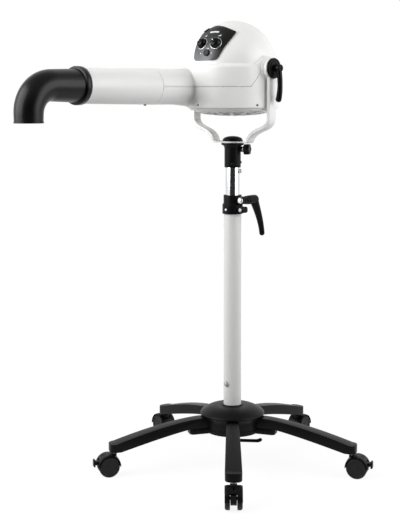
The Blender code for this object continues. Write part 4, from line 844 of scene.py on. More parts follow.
for radius in (51 * MM, 73.5 * MM):
    foot = rim_low - GRILLE_BELLY * sqrt(1 - (radius / INTAKE_R) ** 2)
    ring = turned(
        "grille_ring", [(radius - RING_T / 2, foot, 0.5 * MM),
            (radius + RING_T / 2, foot + 0.4 * MM, 0.5 * MM),
            (radius + RING_T / 2, rim_top - 0.5 * MM, 0.3 * MM),
            (radius - RING_T / 2, rim_top - 0.5 * MM, 0.3 * MM)], steps=120, closed=True)
    merged(grille, ring)
stand_in(grille, "intake_grille", abs_white, 36)
screw = turned(
    "head_screw", mm([(0, 99.2, 0), (1.0, 99.2, 0), (1.1, 99.9, 0.2), (2.3, 99.7, 0.7), (2.4, 97.4, 0),
        (0, 97.4, 0)]), steps=24)
for number, turn in enumerate(SCREW_TURNS):
    twin = copied(screw, f"head_screw_{number + 1}", aimed(heading(turn), (0, 0, SCREW_Z)))
    dressed(twin, "head", black_zinc)
bpy.data.objects.remove(screw)
print("grille", len(grille.data.polygons), "faces")

# %% [markdown]
# ## Control panel
# A printed plastic film lies on the dome: black at the top, fading to grey at its foot, with a black
# border on its right. Its outline is a curved shield with rounded corners. A flat grid is bent onto the
# dome row by row, each row as wide as the shield is there, and given its thickness. The grid's own UV map
# then carries the print, so the fade follows the film.

# %% Film
FILM_R = DOME_R + 2.6 * MM      # the film's face, from the dome's centre
FILM_T = 2.0 * MM
FILM_LOW, FILM_HIGH = 17 * MM, 92.8 * MM    # above the tilt axis
FILM_FALL = 13.5 * MM           # how far the upper edge falls to its corners
FOOT_CORNER, TOP_CORNER = 9 * MM, 4 * MM
ROW_SHIFT = 0.6                 # crowds the rows at foot and top, where the corners bend


def on_dome(azimuth, rise):
    """Unit vector from the dome's centre; azimuth is measured from the nozzle's side, -X."""
    return Vector((-cos(rise) * cos(azimuth), cos(rise) * sin(azimuth), sin(rise)))


def film_spot(across, share):
    """A point of the film's face: across runs from -1 to 1, share from the foot to the top."""
    top = FILM_HIGH - FILM_FALL * across ** 2
    up = FILM_LOW + (top - FILM_LOW) * share
    half = radians(19 + 4.5 * share) if across > 0 else radians(20 + 14 * share + 13.5 * share ** 2)
    for reach, corner in ((up - FILM_LOW, FOOT_CORNER), (top - up, TOP_CORNER)):
        if reach < corner:
            half -= (corner - sqrt(corner ** 2 - (corner - reach) ** 2)) / DOME_R
    return Vector((0, 0, DOME_Z)) + on_dome(across * half, asin((up - DOME_UP) / DOME_R)) * FILM_R


bpy.ops.object.select_all(action="DESELECT")
bpy.ops.mesh.primitive_grid_add(x_subdivisions=40, y_subdivisions=48, size=2)
film = bpy.context.object
film.name = "control_film"
for spot in film.data.vertices:
    share = (spot.co.y + 1) / 2
    spot.co = film_spot(spot.co.x, share - ROW_SHIFT * sin(tau * share) / tau)
modified(film, "SOLIDIFY", thickness=FILM_T, offset=-1 if film.data.polygons[0].normal.x < 0 else 1)
bpy.ops.object.mode_set(mode="EDIT")
closed_up()

# Back-printed polycarbonate: satin face, black ink that fades to a metallic grey in fine dots.
printed_film, tree = blank_material("polycarbonate_film_printed")
parts = add(tree, "SeparateXYZ", {0: add(tree, "TexCoord").outputs["UV"]})
place = add(tree, "TexCoord").outputs["Object"]
fade = add(
    tree, "MapRange", {"Value": parts.outputs["Y"], "From Min": 0.02, "From Max": 0.86, "To Min": 1.0,
        "To Max": 0.0}, interpolation_type="SMOOTHSTEP")
border = add(
    tree, "MapRange", {"Value": parts.outputs["X"], "From Min": 0.10, "From Max": 0.30},
    interpolation_type="SMOOTHSTEP")
dots = add(tree, "TexNoise", {"Vector": place, "Scale": 1 / (0.9 * MM), "Detail": 1.0})
amount = add(tree, "Math", {0: fade, 1: border}, operation="MULTIPLY")
speckle = add(
    tree, "MapRange", {"Value": dots, "From Min": 0.3, "From Max": 0.7, "To Min": 0.9, "To Max": 1.1})
grey = add(tree, "Math", {0: amount, 1: speckle}, operation="MULTIPLY")
ink = add(tree, "Mix", {"Factor": grey, "A": linear("#0b0b0c"), "B": linear("#707274")}, data_type="RGBA")
sheen = add(tree, "MapRange", {"Value": dots, "To Min": 0.24, "To Max": 0.34})
face = add(
    tree, "BsdfPrincipled", {"Base Color": ink.outputs["Result"], "Roughness": sheen, "IOR": 1.58,
        "Specular IOR Level": 0.22})
add(tree, "OutputMaterial", {"Surface": face})
stand_in(film, "control_panel", printed_film, 40)
print("film", len(film.data.polygons), "faces")

# %% [markdown]
# ## Knobs, button and marks
# Two gloss-black knobs sit in thin bright rings, a push button under them. The printed marks are plain: a
# bare name bar, a rising-bars sign over each knob, a tick between them and two small lights beside the
# button. All of them are placed by their angle on the dome.

# %% Knobs, rings and button
centre = Vector((0, 0, DOME_Z))
POINTER_GLINT_TURN = radians(50)      # both knobs turned back, so that each white pointer also paints the highlight on the cap's left
ring = turned(
    "ring", mm([(12.5, 98.9, 0.2), (13.9, 98.9, 0.2), (13.7, 100.6, 0.5), (12.8, 100.9, 0.3)]), steps=64,
    closed=True)
knob = turned(
    "knob", mm([(0, 111.4, 0), (5.5, 111.2, 2.0), (9.6, 109.2, 3.0), (11.2, 103.6, 1.2),
        (12.2, 102.6, 0.5), (12.3, 101.1, 0.2), (3.0, 101.1, 0), (3.0, 84, 0), (0, 84, 0)]), steps=64)
# The white pointer is a printed mark on the cap. It is turned to where the cap's highlight falls, so it is
# also a painted highlight.
pointer = slab(
    "pointer", mm([(-0.9, 3.4, 0.5), (0.9, 3.4, 0.5), (0.9, 7.9, 0.5), (-0.9, 7.9, 0.5)]), 110.2 * MM,
    111.5 * MM, Matrix.Rotation(POINTER_GLINT_TURN, 4, "Z"))
for name in ("heat_knob", "speed_knob"):
    spot = aimed(joint[name + "_turn"]["axis"], centre)
    dressed(copied(ring, name + "_ring", spot), "head", satin_ring)
    stand_in(copied(knob, name + "_cap", spot), name, abs_black, 34)
    dressed(copied(pointer, name + "_pointer", spot), name, mark_white)
for shape in (ring, knob, pointer):
    bpy.data.objects.remove(shape)
press = aimed(-Vector(joint["button_press"]["axis"]), centre)
corner = 8.3 * MM
sides = [(corner * cos(tau * step / 6), corner * sin(tau * step / 6), 2.6 * MM) for step in range(6)]
button = slab("button_cap", sides, 99.6 * MM, 103.6 * MM, press)
edged(button, 0.9 * MM)
merged(button, turned("button_stem", mm([(0, 100.5), (3, 100.5), (3, 88), (0, 88)]), press, 32))
dish = turned("button_dish", mm([(0, 103.1, 0), (4.4, 103.5, 0.6), (5.2, 106, 0), (0, 106, 0)]), press, 48)
merged(button, dish, "DIFFERENCE")
stand_in(button, "power_button", abs_black, 40)
print("two knobs and a button of", len(button.data.polygons), "faces")

# %% Marks on the film
def film_place(azimuth, rise):
    """A place on the film: Z outwards, Y up the dome."""
    out = on_dome(radians(azimuth), radians(rise))
    across = Vector((0, 0, 1)).cross(out).normalized()
    upward = out.cross(across)
    return Matrix.Translation(centre + out * FILM_R) @ Matrix((across, upward, out)).transposed().to_4x4()


def mark(name, outline, azimuth, rise):
    """A thin printed shape on the film; outline in millimetres."""
    shape = mm([(*corner, 0.3) for corner in outline])
    piece = slab(name, shape, -0.25 * MM, 0.12 * MM, film_place(azimuth, rise))
    dressed(piece, "head", mark_white)


bar = slab(
    "name_bar", mm([(-12.2, -2.2, 0.8), (11.4, -2.2, 0.8), (12.6, 2.2, 0.8), (-11.0, 2.2, 0.8)]),
    -0.3 * MM, 0.3 * MM)
bpy.ops.object.mode_set(mode="EDIT")
for cut in range(-11, 12):
    bpy.ops.mesh.select_all(action="SELECT")
    bpy.ops.mesh.bisect(plane_co=(cut * MM, 0, 0), plane_no=(1, 0, 0))
bpy.ops.object.mode_set(mode="OBJECT")
for spot in bar.data.vertices:
    spot.co.z -= (spot.co.x ** 2 + spot.co.y ** 2) / (2 * FILM_R)
placed(bar, film_place(-6.6, 43.9))
dressed(bar, "head", mark_white)
for side, azimuth in (("heat", 7.0), ("speed", -19.6)):
    for step in range(3):
        mark(
            f"{side}_sign_{step + 1}", [(2.2 * step - 3.1, -2.0), (2.2 * step - 1.4, -2.0),
                (2.2 * step - 1.4, -0.4 + 1.2 * step), (2.2 * step - 3.1, -0.4 + 1.2 * step)], azimuth,
            37.6)
mark("button_tick", [(-2.6, -0.8), (2.2, -0.8), (2.6, 0.8), (-2.2, 0.8)], -5.4, 18.9)
light = turned("lamp", mm([(0, 0.7, 0), (1.5, 0.5, 0.5), (1.6, -0.4, 0), (0, -0.4, 0)]), steps=24)
for side, azimuth in (("left", 5.5), ("right", -11.7)):
    dressed(copied(light, side + "_lamp", film_place(azimuth, 12.8)), "head", lamp_lens)
bpy.data.objects.remove(light)
print("controls on the film")

# %% [markdown]
# ## Tilt joint
# The near side of the yoke carries a black friction disc with turned rings, and a lever whose hub screws
# it tight: hub and handle are one moulding, the handle hangs down and swells a little at its end. The far
# side has a smaller disc and a socket bolt. Discs and hubs are turned, the handle is a bar along a curve.

# %% Tilt joint
DISC_AT = -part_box("tilt_disc_near")[1].y
STUD_END = 100.2 * MM
STUD_R = 5 * MM
stud = [(STUD_R, STUD_END, 0), (0, STUD_END, 0)]

disc = turned(
    "friction_disc", mm([(5.3, 0, 0.2), (21.7, 0, 0.4), (22.5, 0.9, 0.4), (22.5, 4.1, 0.9),
        (20.7, 5.9, 0.8), (17.6, 6.1, 0.4), (17.3, 4.9, 0.2), (16.0, 4.9, 0.2), (15.7, 6.5, 0.5),
        (11.4, 6.7, 0.5), (11.0, 5.4, 0.2), (5.3, 5.4, 0.2)], DISC_AT), near_side, 96, closed=True)
stand_in(disc, "tilt_disc_near", nylon_black, 30)

lever = turned(
    "tilt_handle", mm([(0, 21.6, 0), (3.0, 21.6, 0.2), (3.2, 22.6, 0.3), (6.9, 22.8, 1.4),
        (8.5, 20.6, 1.6), (8.5, 9.6, 0.8), (7.4, 8.8, 0.4), (7.4, 7.0, 0.2), (5.0, 7.0, 0)], DISC_AT)
    + stud, near_side, 56)
root = DISC_AT + 14.6 * MM
drop = 68 * MM
path = interpolate_bezier(
    (0, -root, TILT_Z), (0, -root - 6 * MM, TILT_Z - drop / 3),
    (0.7 * MM, -root - 6 * MM, TILT_Z - drop * 2 / 3), (1 * MM, -root, TILT_Z - drop), 22)
sizes = [6.8 - 1.2 * sin(pi * min(step / 12, 1) / 2) + 1.0 * max(step - 11, 0) / 10 for step in range(22)]
round_end(path, sizes)
merged(lever, bent("handle", path, [size * MM for size in sizes], 28))
stand_in(lever, "tilt_lever", acetal_black, 40)

far_disc = turned(
    "far_friction_disc", mm([(5.3, 0, 0.2), (15.7, 0, 0.4), (16.5, 0.8, 0.3), (16.5, 3.0, 0.7),
        (15.0, 4.3, 0.5), (11.0, 4.5, 0.4), (10.6, 3.9, 0.2), (5.3, 3.9, 0.2)], DISC_AT), far_side, 72,
    closed=True)
stand_in(far_disc, "tilt_disc_far", nylon_black, 30)
bolt = turned(
    "far_bolt", mm([(0, 9.3, 0), (6.6, 9.2, 1.0), (9.0, 7.2, 1.4), (9.0, 4.8, 0.3), (5.0, 4.8, 0)],
        DISC_AT) + stud, far_side, 48)
socket = slab(
    "socket", [(4 * MM * cos(tau * step / 6), 4 * MM * sin(tau * step / 6)) for step in range(7)],
    DISC_AT + 6.6 * MM, DISC_AT + 12 * MM, far_side)
merged(bolt, socket, "DIFFERENCE")
stand_in(bolt, "tilt_bolt_far", nylon_black, 34)
print("tilt joint at", round(DISC_AT, 4), "m from the pole's axis")

# %% [markdown]
# ## Yoke
# One flat white bar, bent to a fork: two upright legs, an S-bend on each, and a thin round plate between
# them that sits on the swivel. Its edge outline is traced from the leg's centre line, moved to both sides
# by half the thickness, filled and extruded to the bar's width. The round eyes and the plate are turned
# and joined on.

# %% Yoke
EYE_AT = DISC_AT - 4.6 * MM         # middle of the bar's thickness in the upright leg
plate_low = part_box("yoke")[0].z
PLATE_T = 3.6 * MM
plate_mid = plate_low + PLATE_T / 2
BAR_W, BAR_T = 23 * MM, 8 * MM
bend_top = plate_mid + 55 * MM
foot = 52 * MM
toe_up = 0.9 * BAR_T
leg = [Vector((EYE_AT, TILT_Z))]
ankle = (foot, plate_mid + toe_up)
leg += interpolate_bezier(
    (EYE_AT, bend_top), (EYE_AT, bend_top - 30 * MM), (foot + 12 * MM, plate_mid + 34 * MM), ankle, 24)
toe = interpolate_bezier(
    ankle, (foot - 2.4 * MM, plate_mid + 0.1 * toe_up), (foot - 5.6 * MM, plate_mid),
    (foot - 13.6 * MM, plate_mid), 10)[1:]
middle = leg + toe
thick = [BAR_T] * len(leg) + [
    BAR_T + (PLATE_T - 0.6 * MM - BAR_T) * (step + 1) / len(toe) for step in range(len(toe))]
outer, inner = [], []
for index, spot in enumerate(middle):
    before, after = middle[max(index - 1, 0)], middle[min(index + 1, len(middle) - 1)]
    along = (after - before).normalized()
    across = Vector((along.y, -along.x)) * thick[index] / 2
    outer.append(spot - across)
    inner.append(spot + across)
outer.append(Vector((0, outer[-1].y)))
inner.append(Vector((0, inner[-1].y)))
outline = outer + [Vector((-spot.x, spot.y)) for spot in outer[-2::-1]]
outline += [Vector((-spot.x, spot.y)) for spot in inner] + inner[-2::-1]
outline.append(outline[0])
yoke = slab("yoke_bar", outline, -BAR_W / 2, BAR_W / 2, END_ON)
edged(yoke, 1.6 * MM, angle=45)
plate = turned(
    "yoke_plate", [(0, plate_low, 0), (23 * MM, plate_low, 0.7 * MM),
        (23 * MM, plate_low + PLATE_T, 0.7 * MM), (0, plate_low + PLATE_T, 0)], steps=72)
merged(yoke, plate)
for side in (near_side, far_side):
    merged(
        yoke, turned("eye", mm([(0, -4.3, 0), (23, -4.3, 0.8), (23, 4.3, 1.2), (0, 4.3, 0)], EYE_AT),
            side, 72))
    bored(yoke, STUD_HOLE_R, 90 * MM, 130 * MM, side)
bored(yoke, 6.3 * MM, plate_low - 10 * MM, plate_low + 10 * MM)
stand_in(yoke, "yoke", abs_white, 38)
print("yoke", len(yoke.data.polygons), "faces")

# %% [markdown]
# ## Swivel: cap, collar and knob
# A domed black cap with a lip covers the swivel pin. Under the yoke's plate the collar starts with a wide
# flange and falls in a hollow curve to its plain body, which two grub screws hold on the chrome tube. A
# six-lobed knob on a short boss brakes the swivel.

# %% Swivel
cap_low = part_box("yoke_cap")[0].z
CAP_R, CAP_H, LIP_H = 23.2 * MM, 11.5 * MM, 3.4 * MM
crown = [(21.9 * MM * wide, cap_low + LIP_H + (CAP_H - LIP_H) * up, 0) for wide, up in quarter(12)]
cap = turned(
    "swivel_cap", crown + mm([(21.9, 2.9, 0.2)], cap_low) + [(CAP_R, cap_low + 2.6 * MM, 0.6 * MM),
        (CAP_R, cap_low, 0.4 * MM)] + mm([(11.2, 0, 0), (11.2, 4.5, 0), (0, 4.5, 0)], cap_low), steps=80)
stand_in(cap, "yoke_cap", nylon_black, 34)

collar_low, collar_top = (corner.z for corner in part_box("swivel_collar"))
BODY_R = 18.5 * MM
FLANGE_R = 25.5 * MM
knob_way = Vector(joint["swivel_knob_turn"]["axis"])
knob_way = knob_way if knob_way.y < 0 else -knob_way
knob_spot = aimed(knob_way, (0, 0, collar_top - 14 * MM))
hollow = [
    (BODY_R + (FLANGE_R - 0.6 * MM - BODY_R) * (1 - wide), collar_top - 4.4 * MM - 8.5 * MM * (1 - up), 0)
    for wide, up in quarter(8)]
collar = turned(
    "swivel_socket", [(8.3 * MM, collar_top, 0.3 * MM), (FLANGE_R, collar_top, 0.9 * MM),
        (FLANGE_R, collar_top - 3.6 * MM, 0.8 * MM)] + hollow + [(BODY_R, collar_low, 0.8 * MM)]
    + mm([(16.3, 0, 0.4), (16.3, 33, 0), (8.3, 33, 0)], collar_low), steps=80, closed=True)
merged(
    collar, turned("knob_boss", mm([(0, 14, 0), (6, 14, 0), (6, 27.5, 0.5), (0, 27.5, 0)]), knob_spot,
        40))
bored(collar, 3.3 * MM, 0, 30 * MM, knob_spot, 24)
stand_in(collar, "swivel_collar", nylon_black, 34)
grub = turned(
    "grub_screw", mm([(0, 17.4, 0), (3.2, 17.4, 0), (3.0, 20.0, 0.8), (1.5, 20.2, 0.2), (1.4, 19.0, 0),
        (0, 19.0, 0)]), steps=28)
for number, (turn, up) in enumerate(((221, 8.5), (312, 11.5))):
    place = aimed(heading(radians(turn)), (0, 0, collar_low + up * MM))
    dressed(copied(grub, f"grub_screw_{number + 1}", place), "carriage", black_zinc)
bpy.data.objects.remove(grub)

near_face = 27.8 * MM
lobes = []
for step in range(73):
    turn = tau * step / 72
    reach = 11.8 * MM + 1.2 * MM * cos(6 * turn)
    lobes.append((reach * cos(turn), reach * sin(turn)))
knob = slab("swivel_handwheel", lobes, near_face - 0.4 * MM, near_face + 13.4 * MM, knob_spot)
edged(knob, 3.2 * MM, 4)
merged(
    knob, turned("knob_neck", mm([(0, 8, 0), (7.6, 8, 0), (6.2, 2, 1), (6, 0, 0.3), (3, 0, 0)], near_face)
        + mm([(3, 8.3, 0), (0, 8.3, 0)]), knob_spot, 40))
dish = turned(
    "knob_dish", mm([(0, 12.4, 0), (6.2, 12.4, 0.4), (7.2, 16, 0), (0, 16, 0)], near_face), knob_spot, 40)
merged(knob, dish, "DIFFERENCE")
stand_in(knob, "swivel_knob", acetal_black, 36)
washer = turned(
    "knob_washer", mm([(6.05, 24.6, 0.2), (7.1, 24.6, 0.3), (7.1, 26.6, 0.3), (6.05, 26.6, 0.2)]),
    knob_spot, 40, closed=True)
dressed(washer, "carriage", zinc)
print("swivel from", round(collar_low, 4), "to", round(collar_top, 4))

# %% [markdown]
# ## Pole and clamp
# The chrome tube slides in the white one. A black collar joins them: its lower ring holds the white tube,
# its upper ring, slit and with two ears, is pulled tight on the chrome by a stud with a bright head and a
# lever. Tubes, screws and the lever's hub are turned; the lever is a bar along a curve.

# %% Tubes and screws
chrome_low, chrome_top = (corner.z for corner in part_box("inner_tube"))
tube_low, tube_top = (corner.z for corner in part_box("outer_tube"))
inner = turned(
    "chrome_tube", mm([(14.4, 0, 0.3), (16, 0, 0.5)], chrome_low) + mm([(16, 0, 0.5), (14.4, 0, 0.3)],
        chrome_top), steps=96, closed=True)
stand_in(inner, "inner_tube", chrome)
white_tube = turned(
    "white_tube", mm([(18, 0, 0.3), (20, 0, 0.5)], tube_low) + mm([(20, 0, 0.6), (18, 0, 0.4)], tube_top),
    steps=96, closed=True)
stand_in(white_tube, "outer_tube", powder_white)

stop = turned(
    "stop_pin", mm([(0, 21.3, 0), (1.6, 21.3, 0.1), (1.8, 22.0, 0.2), (3.9, 21.8, 0.8), (4.5, 20.4, 0.6),
        (4.5, 17.6, 0.5), (5.2, 17.4, 0.2), (5.2, 16.4, 0.2), (2.25, 16.4, 0), (2.25, 12.8, 0),
        (0, 12.8, 0)]), aimed(knob_way, (0, 0, collar_low - 8.5 * MM)), 36)
stand_in(stop, "stop_screw", satin_ring)
bolt_low, bolt_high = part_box("pole_bolt")
bolt_z = (bolt_low.z + bolt_high.z) / 2
bolt = turned(
    "pole_screw", mm([(0, 24.2, 0), (2.0, 24.2, 0.1), (2.2, 24.9, 0.2), (4.0, 24.4, 0.9),
        (6.0, 21.8, 1.0), (6.0, 20.3, 0.2), (3, 20.3, 0), (3, 10, 0), (0, 10, 0)]),
    aimed((-1, 0, 0), (0, 0, bolt_z)), 36)
stand_in(bolt, "pole_bolt", zinc)
print("tubes", round(tube_top - tube_low, 4), "and", round(chrome_top - chrome_low, 4), "m long")

# %% Clamp
clamp_low, clamp_top = (corner.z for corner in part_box("clamp_collar"))
clamp_step = clamp_top - 22.2 * MM
clamp = turned(
    "clamp_body", [(16.3 * MM, clamp_top, 0.4 * MM), (20.5 * MM, clamp_top, 0.9 * MM),
        (20.5 * MM, clamp_step + 3.4 * MM, 1.0 * MM), (23.1 * MM, clamp_step + 0.6 * MM, 1.0 * MM),
        (23.1 * MM, clamp_low, 0.9 * MM), (20.3 * MM, clamp_low, 0.3 * MM), (20.3 * MM, clamp_step, 0),
        (16.3 * MM, clamp_step, 0)], steps=80, closed=True)
clamp_mid = clamp_step + 11.1 * MM
lower_mid = (clamp_low + clamp_step) / 2
EAR_Y = -30.5 * MM           # where stud and screw pass through the ears
for middle, tall in ((clamp_mid, 16.5 * MM), (lower_mid, 14 * MM)):
    ear = slab(
        "ear", [(-18.4 * MM, middle - tall / 2, 0), (-38 * MM, middle - tall / 2, 5 * MM),
            (-38 * MM, middle + tall / 2, 5 * MM), (-18.4 * MM, middle + tall / 2, 0)], -8.25 * MM,
        8.25 * MM, END_ON)
    edged(ear, 1.0 * MM)
    merged(clamp, ear)
for radius, low, high in ((20.3, clamp_low - 0.01, clamp_step), (16.3, clamp_low, clamp_top + 0.01)):
    bored(clamp, radius * MM, low, high, steps=80)
slit = slab("slit", rectangle(-60 * MM, clamp_low - 0.01, 0, clamp_top + 0.01), -1 * MM, 1 * MM, END_ON)
merged(clamp, slit, "DIFFERENCE")
along_x = aimed((1, 0, 0), (0, EAR_Y, clamp_mid))
bored(clamp, 4.3 * MM, -20 * MM, 20 * MM, along_x)
stand_in(clamp, "clamp_collar", nylon_black, 34)

stud = turned(
    "clamp_bolt", mm([(0, -13.05, 0), (4.6, -12.9, 1.0), (7.0, -11.0, 1.0), (7.0, -8.55, 0.3),
        (4, -8.55, 0), (4, 21.8, 0.3), (0, 21.8, 0)]), along_x, 48)
stand_in(stud, "clamp_stud", satin_ring)
screw = turned(
    "ear_fixing", mm([(0, 10.6, 0), (1.9, 10.6, 0.1), (2.1, 11.6, 0.2), (3.6, 11.6, 0.6), (4.2, 10.6, 0.4),
        (4.2, 7.9, 0), (0, 7.9, 0)]), steps=32)
for name, way, material in (("ear_screw", -1, zinc), ("ear_nut", 1, black_zinc)):
    place = aimed((way, 0, 0), (0, EAR_Y, lower_mid))
    dressed(copied(screw, name, place), "base", material)
bpy.data.objects.remove(screw)
set_screw = turned(
    "clamp_set_screw", mm([(0, 23.2, 0), (1.0, 23.2, 0), (1.2, 24.1, 0.2), (2.5, 24.0, 0.6),
        (2.8, 22.4, 0), (0, 22.4, 0)]), aimed((-1, 0, 0), (0, 0, lower_mid)), 28)
dressed(set_screw, "base", satin_ring)

HUB_L = 40 * MM
start = 8.55 * MM
handle = turned(
    "clamp_handle", mm([(4.3, 0, 0), (9.2, 0, 0.6), (9.6, 1.2, 0.4), (9.6, 4.2, 0.4), (8.6, 5.0, 0.3),
        (8.6, 6.2, 0.3), (10, 7.2, 0.4), (10.6, 22, 0.4), (10.6, 34.5, 2.6), (7.6, 39.2, 2.0), (0, 40, 0),
        (0, 13.6, 0), (4.3, 13.6, 0), (4.3, 0, 0)], start), along_x, 56)
root = start + HUB_L - 10 * MM
lean, drop = 29.5 * MM, 79.5 * MM
path = interpolate_bezier(
    (root, 0, 0), (root + lean * 0.35, 0, -drop * 0.28), (root + lean * 0.85, 0, -drop * 0.6),
    (root + lean, 0, -drop), 22)
path = [spot + Vector((0, EAR_Y, clamp_mid)) for spot in path]
sizes = [6.2 + 4.2 * (1 - step / 21) ** 1.4 for step in range(22)]
round_end(path, sizes)
bar = bent("clamp_bar", path, [size * MM for size in sizes], 32)
merged(handle, bored(bar, 4.4 * MM, -20 * MM, start + 13.6 * MM, along_x))
stand_in(handle, "clamp_lever", acetal_black, 36)
print("clamp from", round(clamp_low, 4), "to", round(clamp_top, 4))

# %% [markdown]
# ## Hub
# The hub is a black moulded bell over a lobed plate: a raised ring round the pole, a shallow dome and a
# thick rounded rim, with a notch for each of the five arms. The bell is turned and the notches are cut
# from it.

# %% Hub
ARMS = 5
arm_low, arm_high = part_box("arm_1")
TIP_LOW, ARM_TOP = arm_low.z, arm_high.z
ARM_LOW = ARM_TOP - 23.5 * MM
rim_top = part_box("hub_cover")[1].z - 21.5 * MM
hub_top = rim_top + 16.6 * MM
FIRST_ARM = radians(220.9)


def arm_turn(number):
    """The turn from X to an arm, counted from 0."""
    return Matrix.Rotation(FIRST_ARM + tau * number / ARMS, 4, "Z")


dome = []
for step in range(15):
    share = step / 14
    dome.append((27 * MM + 39.5 * MM * share, rim_top + 3 * MM + 11.6 * MM * (1 - share ** 2.5), 0))
hub = turned(
    "hub_bell", mm([(20.3, 0, 0.3), (25, 0, 0.8), (25.6, -1.8, 0.5)], hub_top)
    + dome + mm([(70.4, 0.6, 2.5), (73.4, -3.4, 2.5), (70.6, -8.5, 3.5), (64.5, -13.5, 3.0)], rim_top)
    + mm([(63.0, 0, 0.5), (20.3, 0, 0.3)], ARM_LOW), steps=120, closed=True)
room = slab(
    "arm_room", rectangle(31.7 * MM, -14.3 * MM, 90 * MM, 14.3 * MM), ARM_LOW - 5 * MM, ARM_TOP + 0.3 * MM)
for number in range(ARMS):
    merged(hub, copied(room, "notch", arm_turn(number)), "DIFFERENCE")
bpy.data.objects.remove(room)
stand_in(hub, "hub_cover", nylon_black, 34)
finished("hub_plate", nylon_black, 1.4 * MM, 40, 3)

plate_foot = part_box("hub_plate")[0].z
lock = turned(
    "lock_eye", mm([(0, 16, 0), (5, 16, 0.4), (5, -0.3, 0), (9, -0.3, 0.6), (9, -30, 1.5), (0, -30, 0)],
        plate_foot), steps=48)
lock_way = heading(radians(-48))
spots = [
    (4, 25.0, 3.6), (30, 25.8, 3.6), (54, 26.4, 3.7), (58, 26.2, 4.0), (61.5, 25.4, 4.1), (64, 24.0, 4.2),
    (65.5, 22.2, 3.4), (66.2, 21.0, 1.6)]
lock_bar = bent(
    "lock_bar", [lock_way * out * MM + Vector((0, 0, plate_foot - drop * MM))
        for out, drop, size in spots], [size * MM for out, drop, size in spots], 24)
merged(lock, lock_bar)
stand_in(lock, "pole_lock_lever", nylon_black, 36)
print("hub top at", round(hub_top, 4))

# %% [markdown]
# ## Arms
# Each arm is a moulded beam that leaves the hub nearly level and then falls to its caster. Seen from the
# side it has a curved back and a straighter belly, seen from above it widens to a round-cornered tip.
# Both outlines are traced and extruded, and what the two solids share is the arm. A wide bevel softens
# its edges.

# %% Arms
ARM_END = 286 * MM
TIP_ROUND = 12 * MM
HUB_R = 73.4 * MM
LOBE_END = 103.6 * MM
TIP_TOP = TIP_LOW + 18 * MM
back, belly = [], []
for step in range(33):
    reach = HUB_R + (ARM_END - HUB_R) * step / 32
    along = min((reach - HUB_R) / (ARM_END - TIP_ROUND - HUB_R), 1)
    back.append((reach, TIP_TOP + (ARM_TOP - TIP_TOP) * (1 - along ** 1.5)))
for step in range(25):
    share = 1 - step / 24
    reach = LOBE_END + (262 * MM - LOBE_END) * share
    belly.append((reach, ARM_LOW - (ARM_LOW - TIP_LOW) * share ** 1.15))
side = [(32 * MM, ARM_TOP)] + back + [(ARM_END, TIP_LOW)] + belly
side += [(32 * MM, ARM_LOW), (32 * MM, ARM_TOP)]
arm = slab("arm", side, -30 * MM, 30 * MM, side_on())
above = softened(
    [(31 * MM, -14 * MM, 0), (HUB_R, -14 * MM, 0), (ARM_END, -18.3 * MM, 15 * MM),
        (ARM_END, 18.3 * MM, 15 * MM), (HUB_R, 14 * MM, 0), (31 * MM, 14 * MM, 0)], closed=True, steps=8)
merged(arm, slab("arm_above", above, TIP_LOW - 0.01, ARM_TOP + 0.01), "INTERSECT")
edged(arm, 2.6 * MM, 4, 48)
STEM_R = 276.5 * MM          # the stems stand this far out
STEM_HOLE_R = 5.8 * MM
bored(arm, STEM_HOLE_R, TIP_LOW - 10 * MM, TIP_LOW + 13.8 * MM, Matrix.Translation((STEM_R, 0, 0)))
for number in range(ARMS):
    twin = copied(arm, f"arm_{number + 1}_beam", arm_turn(number))
    stand_in(twin, f"arm_{number + 1}", nylon_black, 36)
bpy.data.objects.remove(arm)
print("arms", ARMS, "faces", len(twin.data.polygons))

# %% [markdown]
# ## Casters
# A twin-wheel caster: a hood that arches over both wheels and carries them on a web between, a steel stem
# into the arm, and a small foot pedal that brakes. One set is made at the stem's axis, its outward side
# along X, and copied to the five arms. The hood's arch is turned about the axle and its lower half cut
# away.

# %% Casters
AXLE_X, AXLE_Z = 11.5 * MM, 23 * MM
HOOD_R = 26.4 * MM
HOOD_HALF = 18.5 * MM
hood_top = AXLE_Z + HOOD_R
about_axle = aimed((0, 1, 0), (AXLE_X, 0, AXLE_Z))
beside = side_on(AXLE_X, AXLE_Z)
hood = turned(
    "hood", [(24.2 * MM, -HOOD_HALF, 0.3 * MM), (24.8 * MM, -HOOD_HALF, 0.4 * MM),
        (26.0 * MM, -15 * MM, 3 * MM), (HOOD_R, -9 * MM, 4 * MM), (HOOD_R, 9 * MM, 4 * MM),
        (26.0 * MM, 15 * MM, 3 * MM), (24.8 * MM, HOOD_HALF, 0.4 * MM), (24.2 * MM, HOOD_HALF, 0.3 * MM)],
    about_axle, 96, closed=True)
below = slab("below", rectangle(-40 * MM, -40 * MM, 40 * MM, -0.6 * MM), -30 * MM, 30 * MM, beside)
merged(hood, below, "DIFFERENCE")
web = [(25.4 * MM * cos(pi * step / 24), 25.4 * MM * sin(pi * step / 24)) for step in range(25)]
web += [(-14 * MM * cos(pi * step / 16), -14 * MM * sin(pi * step / 16)) for step in range(17)]
merged(hood, slab("web", web + web[:1], -6.5 * MM, 6.5 * MM, beside))
merged(
    hood, turned("stem_boss", mm([(0, 0, 0), (7.4, 0, 0.8), (7.4, -16.5, 0), (0, -16.5, 0)], hood_top),
        steps=40))
bored(hood, STEM_HOLE_R, hood_top + 5 * MM, hood_top - 16.8 * MM)
bored(hood, 3.8 * MM, -9 * MM, 9 * MM, about_axle)
PEDAL_X, PEDAL_Z = AXLE_X + 20 * MM, AXLE_Z + 9 * MM
room = slab(
    "pedal_room", rectangle(PEDAL_X, PEDAL_Z - 17 * MM, PEDAL_X + 26 * MM, PEDAL_Z + 10 * MM), -7.25 * MM,
    7.25 * MM, side_on())
merged(hood, room, "DIFFERENCE")
bored(hood, 4.3 * MM, -9 * MM, 9 * MM, aimed((0, 1, 0), (PEDAL_X, 0, PEDAL_Z)))
